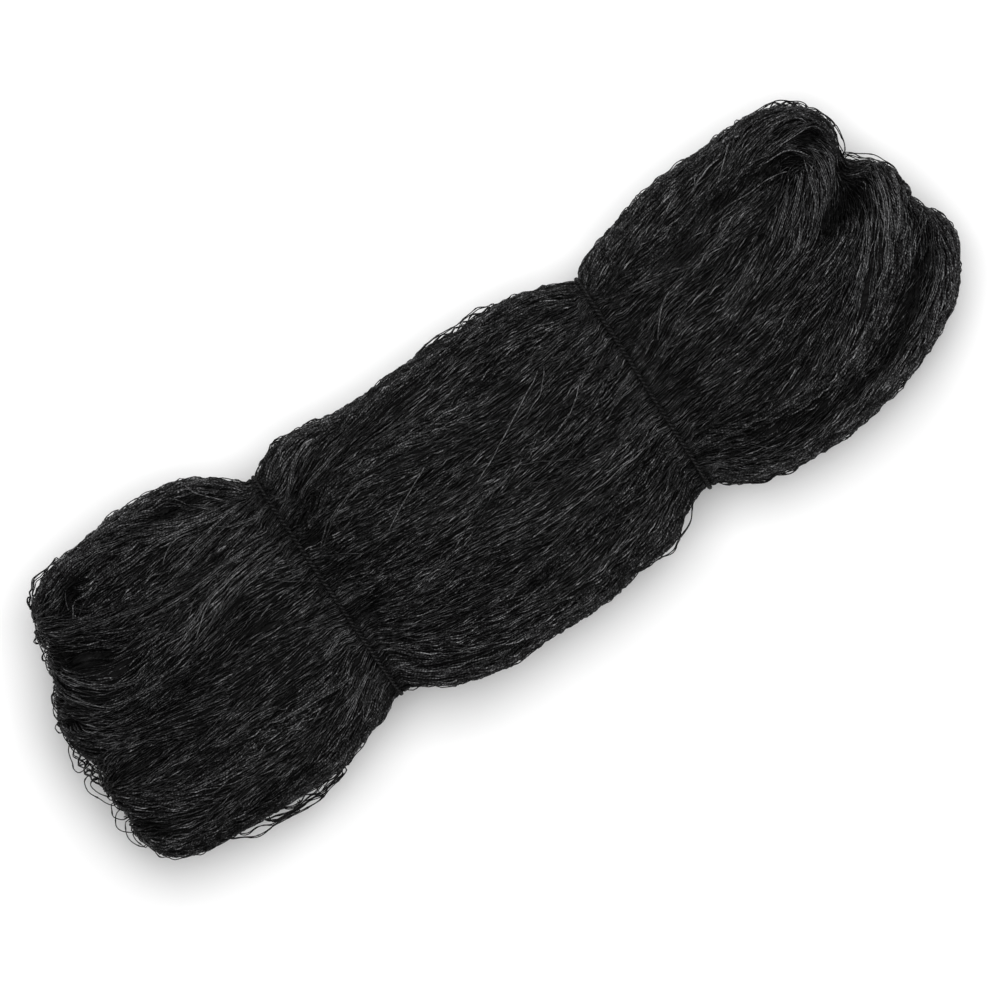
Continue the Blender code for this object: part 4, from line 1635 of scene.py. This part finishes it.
# Strands that stand open along the hank's edge, as routes in plan in millimetres from
# the layout point.  Two that part and meet again leave a mesh open between them.
EDGE_LOOPS: dict[str, tuple[Route, ...]] = {
    "left bottom": (
        ((-330, -117), (-321, -122), (-313, -127), (-305, -128.5), (-296, -128), (-286, -128.5),
         (-276, -130), (-268, -131.3), (-260, -131.8), (-254, -131), (-246, -128.5), (-236, -127),
         (-226, -124)),
        ((-322, -118), (-317, -121.5), (-309, -121.5), (-303, -123), (-297, -126.5), (-290, -127),
         (-281, -127.5), (-274, -129)),
        ((-316, -117), (-308, -118.8), (-301, -119.3), (-299, -121.5), (-292, -125.5), (-283, -127),
         (-276, -128), (-268, -128), (-260, -128.2), (-254, -129.5), (-248, -129)),
        ((-303, -117), (-298, -120.8), (-291, -122.5), (-284, -125.2), (-277, -126.5), (-268, -126.5),
         (-258, -127.8), (-250, -126.2), (-243, -124.3), (-236, -124), (-228, -122)),
        ((-288, -119), (-281, -121.5), (-276, -124), (-268, -124), (-264, -122), (-258, -125),
         (-252, -123.8), (-246, -122.3), (-238, -123.6), (-230, -121)),
        ((-285, -118), (-279, -120.4), (-271, -120.4), (-264, -121), (-257, -121.5), (-250, -122),
         (-244, -120.6), (-238, -120.8), (-231, -119)),
        ((-282, -122), (-275, -125.3), (-266, -125.5), (-259, -125.3), (-254, -127)),
        ((-270, -127.5), (-263, -127), (-256, -127.5), (-249, -127.8), (-240, -126), (-230, -124.2)),
        ((-296, -124.5), (-288, -126.3), (-280, -127), (-272, -127.8)),
    ),
    "left end": (
        ((-391, 33), (-394, 31), (-393.5, 26.5), (-391, 25)),
        ((-392, 14), (-396, 10), (-397.5, 5), (-398, 1), (-399.8, -3), (-399, -7.5), (-396, -8.5),
         (-392, -8)),
        ((-395, -14), (-399, -16), (-401, -21), (-400.5, -26), (-397, -33), (-394, -39), (-391, -43.5),
         (-389, -44)),
        ((-393, -18.5), (-396, -20), (-396.5, -23), (-394.5, -29), (-391, -34.5), (-388.5, -36)),
        ((-393, -20), (-391, -24), (-388.5, -30), (-388.5, -35), (-391, -36)),
        ((-391, -42), (-394, -46), (-396, -50), (-395, -53), (-391, -57.5)),
        ((-390, -49.5), (-394, -51.5), (-397.5, -56), (-398.5, -59.5), (-397, -64), (-393, -68.5),
         (-390, -70)),
        ((-391, -60), (-394, -64), (-396, -69), (-396, -74), (-394, -79), (-390, -83.5)),
        ((-390, -69.5), (-392, -73), (-392.5, -78), (-391, -82), (-389, -85)),
    ),
    "left net": (
        ((-391, 9), (-395, 5), (-393, 1), (-396, -3), (-394, -7), (-396, -11), (-393, -15), (-394, -19),
         (-391, -23), (-389, -28)),
        ((-389, 8), (-390, 3), (-392.5, 0), (-391, -4), (-392.5, -8), (-390.5, -12), (-391.5, -16),
         (-389, -20), (-389.5, -24), (-387, -28)),
        ((-386, 6), (-388.5, 2), (-387.5, -2), (-389.5, -5), (-387.5, -9), (-389, -13), (-387, -17),
         (-388, -21), (-386, -26)),
        ((-393, 1), (-390.5, -1.5), (-387.5, -2)),
        ((-394, -7), (-391.5, -6), (-389.5, -5)),
        ((-393, -15), (-390, -14.5), (-388.5, -12.5)),
        ((-396, -3), (-393, -4.5), (-391, -4)),
        ((-396, -11), (-393, -10), (-390.5, -12), (-387.5, -10)),
        ((-394, -19), (-391, -18), (-388, -21)),
    ),
    "left top corner": (
        ((-380, 54.5), (-382.5, 53.5), (-384.5, 50), (-385, 47)),
        ((-369, 84), (-372, 82), (-372.5, 79.5), (-370, 78)),
        ((-365, 97), (-368, 97), (-370, 95.5), (-369, 93), (-366, 92)),
        ((-354, 127), (-357, 124), (-357, 119), (-356, 117)),
        ((-357, 117), (-357.5, 121), (-354, 125), (-352, 127), (-351, 129.5), (-348, 130.5),
         (-346, 133), (-343, 136), (-337, 137), (-330, 137.6), (-324, 138.7), (-318, 139.5)),
        ((-358, 118), (-353, 122), (-350, 127), (-346, 130), (-342, 134), (-337, 134.5), (-330, 137),
         (-322, 137.5)),
    ),
    "middle top": (
        ((0, 112.3), (8, 113.7), (18, 115.2), (26, 114.2), (36, 113.5), (44, 114), (52, 114.8),
         (60, 114.6), (66, 112.3), (72, 110.5)),
        ((8, 112), (16, 112), (25.5, 113.6), (31, 110.6), (36.5, 112.8), (40, 110.8), (44, 113),
         (48, 111.2), (53, 113.4), (60, 110.2), (68, 110.6)),
        ((4, 110.5), (12, 112.6), (20, 110.8), (28, 111.8), (34, 108.8), (41, 111), (47, 109),
         (55, 111.2), (63, 108.6), (70, 109)),
    ),
    "middle bottom corner": (
        ((63, -124.5), (69, -126), (75, -127.3), (80, -126.5), (84, -124), (89, -121)),
        ((64, -123), (72, -123.4), (80, -122.6), (86, -120)),
        ((88, -121), (94, -119.5), (100, -117), (105, -113.5), (110, -108), (113, -104.5), (117, -102)),
    ),
    "right bottom": (
        ((158, -116.5), (163, -121), (169, -123.3), (175, -123), (180, -121.5)),
        ((178, -122), (184, -127), (190, -129), (196, -127.5)),
        ((200, -125.5), (207, -127.8), (214, -127.8), (220, -127)),
    ),
    "right top corner": (
        ((369, 75), (368, 62), (363.5, 54)),
        ((322, 119), (337, 118), (343, 116.5), (350, 111), (356, 106), (359, 102), (359.5, 98.5),
         (364, 94), (368, 84), (369, 75)),
        ((326, 117), (332, 114.6), (339, 116.8), (343, 112.6), (348, 112), (350.5, 108), (355, 106),
         (355, 101), (359, 99), (358, 93), (364, 92), (363.5, 85), (367, 82), (366, 76)),
        ((329, 114), (335, 114), (341, 110.5), (345, 111.5), (348, 107), (353, 106.5), (352, 101.5),
         (356, 100)),
    ),
    "right notch": (
        ((363, 54), (369, 49), (376, 44), (382, 38), (386, 31), (388.5, 25), (388.5, 20), (387, 15)),
        ((364, 51), (371, 44), (378, 38.5), (382, 32), (385.5, 28.5), (384, 24), (387, 19)),
    ),
}

# How far in each of an edge's strands lies, in millimetres.
USUAL_SHIFTS = (0.4, 1.1)
EDGE_SHIFTS = {"left end": (0.4,), "left net": (0.1, 0.8), "right notch": (0.4,)}


@dataclass
class OpenMeshes:
    """Strands that stand open along the hank's edge: drawn loops, and a fine uneven fringe."""

    skin: Skin
    seed: int = 91
    radius: float = 0.47 * MM
    fringe_strands: int = 60
    fringe_swing_mm: float = 0.7
    knot_gap_mm: tuple[float, float] = (14.0, 24.0)
    point_gap_mm: float = 2.3
    tones: tuple[float, float] = (0.15, 0.5)

    def build(self) -> list[bpy.types.Object]:
        """Make the strands.

        Returns:
            The pieces.
        """
        draw = np.random.default_rng(self.seed)
        bundle = TwineBundle("open_meshes", NET_TWINE, TWINE_SLOT)
        for edge, routes in EDGE_LOOPS.items():
            for route in routes:
                self._loop(laid_out(route), EDGE_SHIFTS.get(edge, USUAL_SHIFTS), draw, bundle)
        for _ in range(self.fringe_strands):
            self._fringe(draw, bundle)
        return bundle.build()

    def _loop(self, route: np.ndarray, shifts: tuple[float, ...], draw: np.random.Generator,
              bundle: TwineBundle) -> None:
        """Make one drawn loop of a few strands, with its ends tucked into the hank.

        Args:
            route: its route in plan.
            shifts: how far in each of its strands lies, in millimetres.
            draw: the random generator.
            bundle: takes the strand.
        """
        rim = self.skin.rim
        first, last = rim.away[rim.nearest(route[0])], rim.away[rim.nearest(route[-1])]
        whole = np.vstack([route[0] - first * 5 * MM, route, route[-1] - last * 5 * MM])
        line = smooth_line(whole, 2.2 * MM)
        run = run_along(line)
        level = np.array([rim.found[rim.nearest(point), 1] for point in line])
        level = np.interp(run, run[[0, len(run) // 2, -1]], level[[0, len(run) // 2, -1]])
        level = level + draw.uniform(-3, 1) * MM + Wander(draw, 0.05, 0.015).at(run) * 0.8 * MM
        inward = -np.array([rim.away[rim.nearest(point)] for point in line])
        for shift in shifts:
            inset = (shift + 0.25 * Wander(draw, 0.05, 0.012).at(run)) * MM
            points = np.column_stack([line + inward * inset[:, None], level - shift * MM])
            self._add(points, run, draw, bundle)

    def _fringe(self, draw: np.random.Generator, bundle: TwineBundle) -> None:
        """Make one strand that wanders a little in and out of the hank's edge.

        Args:
            draw: the random generator.
            bundle: takes the strand.
        """
        rim = self.skin.rim
        count = len(rim.line)
        rows = (int(draw.integers(count)) + np.arange(int(draw.integers(9, 22)))) % count
        base = smooth_line(rim.line[rows], 2.5 * MM)
        at, along = np.linspace(0, 1, len(base)), np.linspace(0, 1, len(rows))
        away = read_at(at, along, rim.away[rows])
        run = run_along(base)
        swell = np.clip(np.minimum(run, run[-1] - run) / (12 * MM), 0, 1)
        swing = np.clip(Wander(draw, 0.034, 0.009, 4).at(run), -1, 1.6)
        reach = swing * self.fringe_swing_mm * MM - (1.0 - swell) * 2.5 * MM
        level = np.interp(at, along, rim.found[rows, 1])
        level = level + draw.uniform(-16, 6) * MM + Wander(draw, 0.05, 0.012, 3).at(run) * 1.2 * MM
        points = np.column_stack([base + away * (reach - 0.3 * MM)[:, None], level])
        self._add(points, run, draw, bundle)

    def _add(self, points: np.ndarray, run: np.ndarray, draw: np.random.Generator,
             bundle: TwineBundle) -> None:
        """Give the strand its knots and tone and hand it on.

        Args:
            points: its points, one to a row.
            run: the distance of each along it.
            draw: the random generator.
            bundle: takes the strand.
        """
        points[:, 2] = np.maximum(points[:, 2], 1.0 * MM)
        radius = np.full(len(run), self.radius)
        step = max(3, round(draw.uniform(*self.knot_gap_mm) / self.point_gap_mm))
        radius[int(draw.integers(1, step))::step] *= draw.uniform(1.3, 1.7)
        tone = draw.uniform(*self.tones) + 0.08 * Wander(draw, 0.06, 0.012).at(run)
        up = np.tile([0.0, 0.0, 1.0], (len(run), 1))
        bundle.add(Strand(points, up, radius, np.clip(tone, 0, 1)))


@dataclass
class TieCord:
    """A cord of two twisted plies, drawn taut round a neck of the hank."""

    ring: TieRing
    plies: int = 2
    lay: float = 7.0 * MM
    ply_sides: int = 6
    steps_per_lay: int = 9
    ply_share: float = 0.56
    painted_shade_tone: float = 0.02
    painted_light_rise: float = 0.36

    def build(self) -> bpy.types.Object:
        """Make the cord.

        Returns:
            The object, which stands for the tie's solid.
        """
        line = self.ring.line(self.lay / self.steps_per_lay)
        along = unit(np.roll(line, -1, axis=0) - np.roll(line, 1, axis=0))
        side = unit(np.cross(along, line - self.ring.centre))
        out = np.cross(side, along)
        steps, n = len(line), self.ply_sides
        turns = round(steps / self.steps_per_lay)
        ply_radius = self.ring.radius * self.ply_share
        offset = self.ring.radius - ply_radius
        sides = 2 * np.pi * np.arange(n) / n
        step, k = np.meshgrid(np.arange(steps), np.arange(n), indexing="ij")
        ring, ahead, after = step * n, (step + 1) % steps * n, (k + 1) % n
        quads = np.stack([ring + k, ahead + k, ahead + after, ring + after], axis=-1).reshape(-1, 4)
        points, faces, tones, maps = [], [], [], []
        for ply in range(self.plies):
            angle = 2 * np.pi * (turns * np.arange(steps) / steps + ply / self.plies)
            middle = line + offset * (side * np.cos(angle)[:, None] + out * np.sin(angle)[:, None])
            around = ply_radius * (side[:, None, :] * np.cos(sides)[None, :, None]
                                   + out[:, None, :] * np.sin(sides)[None, :, None])
            rings = middle[:, None, :] + around
            depth = np.linalg.norm(rings - line[:, None, :], axis=2) / self.ring.radius
            points.append(rings.reshape(-1, 3))
            faces.append(quads + ply * steps * n)
            # Darker toward the cord's middle and lighter on the plies' crowns: painted shade between the
            # plies.
            tones.append((self.painted_shade_tone + self.painted_light_rise * np.clip(depth, 0, 1) ** 2.5).ravel())
            low, high = step / steps, (step + 1) / steps
            left = (ply + 0.05 + 0.9 * k / n) / self.plies
            right = left + 0.9 / n / self.plies
            maps.append(np.stack([left, low, left, high, right, high, right, low], axis=-1).reshape(-1))
        name = f"{self.ring.node}_cord"
        length = np.tile(np.repeat(np.arange(steps) * self.lay / self.steps_per_lay / MM, n), self.plies)
        mesh = twine_mesh(name, points, np.vstack(faces).tolist(), np.concatenate(maps),
                          np.concatenate(tones), length)
        mesh.materials.append(TIE_TWINE.material(self.plies))
        cord = placed(name, mesh)
        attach(cord, "root")
        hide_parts(self.ring.node)
        return cord


@dataclass
class Studio:
    """The floor, the lights and the camera above the hank."""

    lens: float = 300.0
    sensor: float = 36.0
    seen_width: float = 0.776
    seen_height: float = 0.06
    middle: tuple[float, float] = (-0.0112, -0.0228)
    turn: float = -34.4

    def build(self) -> None:
        """Make the stage."""
        self._floor()
        self._light("overhead_softbox", (0.1, 0.16, 1.9), (0.0, 0.0, 0.0), 1.5, 36.0)
        self._light("side_softbox", (1.0, 1.5, 1.3), (0.0, 0.0, 0.05), 1.2, 9.0)
        world = bpy.data.worlds.new("studio_air")
        world.use_nodes = True
        world.node_tree.nodes["Background"].inputs["Color"].default_value = (1.0, 1.0, 1.0, 1.0)
        world.node_tree.nodes["Background"].inputs["Strength"].default_value = 0.45
        scene = bpy.context.scene
        scene.world = world
        scene.view_settings.view_transform = "Standard"
        scene.view_settings.look = "None"
        self._camera()

    def _floor(self) -> None:
        """Make the floor."""
        work = bmesh.new()
        bmesh.ops.create_grid(work, x_segments=8, y_segments=8, size=6.0)
        mesh = bpy.data.meshes.new("studio_floor")
        work.to_mesh(mesh)
        work.free()
        mesh.materials.append(PALE_FLOOR.material())
        floor = placed("studio_floor", mesh)

    @staticmethod
    def _light(name: str, place: tuple, target: tuple, size: float, power: float) -> None:
        """Hang one softbox.

        Args:
            name: its name.
            place: where it hangs.
            target: what it points at.
            size: the length of its side.
            power: its power in watts.
        """
        data = bpy.data.lights.new(name, "AREA")
        data.shape = "SQUARE"
        data.size = size
        data.energy = power
        lamp = placed(name, data)
        lamp.location = place
        lamp.rotation_euler = (Vector(target) - Vector(place)).to_track_quat("-Z", "Y").to_euler()

    def _camera(self) -> None:
        """Hang the camera straight above, turned so that the hank lies across the frame."""
        data = bpy.data.cameras.new("camera")
        data.lens = self.lens
        data.sensor_width = self.sensor
        camera = placed("camera", data)
        height = self.seen_height + self.seen_width * self.lens / self.sensor
        camera.location = (self.middle[0], self.middle[1], height)
        camera.rotation_euler = (0.0, 0.0, math.radians(self.turn))
        bpy.context.scene.camera = camera


# The deeper layers take darker tones: painted shade under the layers above them.
LAYERS = (
    LayerPlan("net_under", DEEP_TWINE, 12, -2.8, 0.6, (6, 9), 2.4, Knots.PLAIN, 5.0, (0.08, 0.36),
              150_000, 240, 0.75, weave=0.6, full=1.0, reach=3.0),
    LayerPlan("net_middle", DEEP_TWINE, 13, -1.8, 0.6, (4, 7), 2.4, Knots.SHAPED, 5.5, (0.18, 0.50),
              187_000, 220, 0.6, weave=0.7, crimp=0.35, slack_chance=0.03, full=1.5),
    LayerPlan("net_outer", NET_TWINE, 14, -0.8, 0.7, (3, 6), 2.4, Knots.FINE, 6.0, (0.22, 0.58),
              550_000, 200, 0.53, weave=0.75, crimp=0.28, slack_chance=0.04, painted_glint_chance=0.20,
              full=4.5, low_start=1.5),
)


def report(pieces: list[bpy.types.Object]) -> None:
    """Log each piece with its triangle count."""
    for piece in pieces:
        count = sum(len(face.vertices) - 2 for face in piece.data.polygons)
        LOG.info("%s: %d triangles", piece.name, count)


def main() -> None:
    """Dress the hank, then set the stage."""
    logging.basicConfig(level=logging.INFO, format="%(message)s")
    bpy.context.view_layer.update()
    skin = Skin(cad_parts["net_hank"])
    flow = FlowField()
    report([PackedCore(skin).build()])
    for plan in LAYERS:
        report(NetLayer(plan, skin, flow).build())
    report(CrossingStrands(skin, flow).build())
    report(OpenMeshes(skin).build())
    report([TieCord(ring).build() for ring in skin.rings])
    Studio().build()


if __name__ == "__main__":
    main()
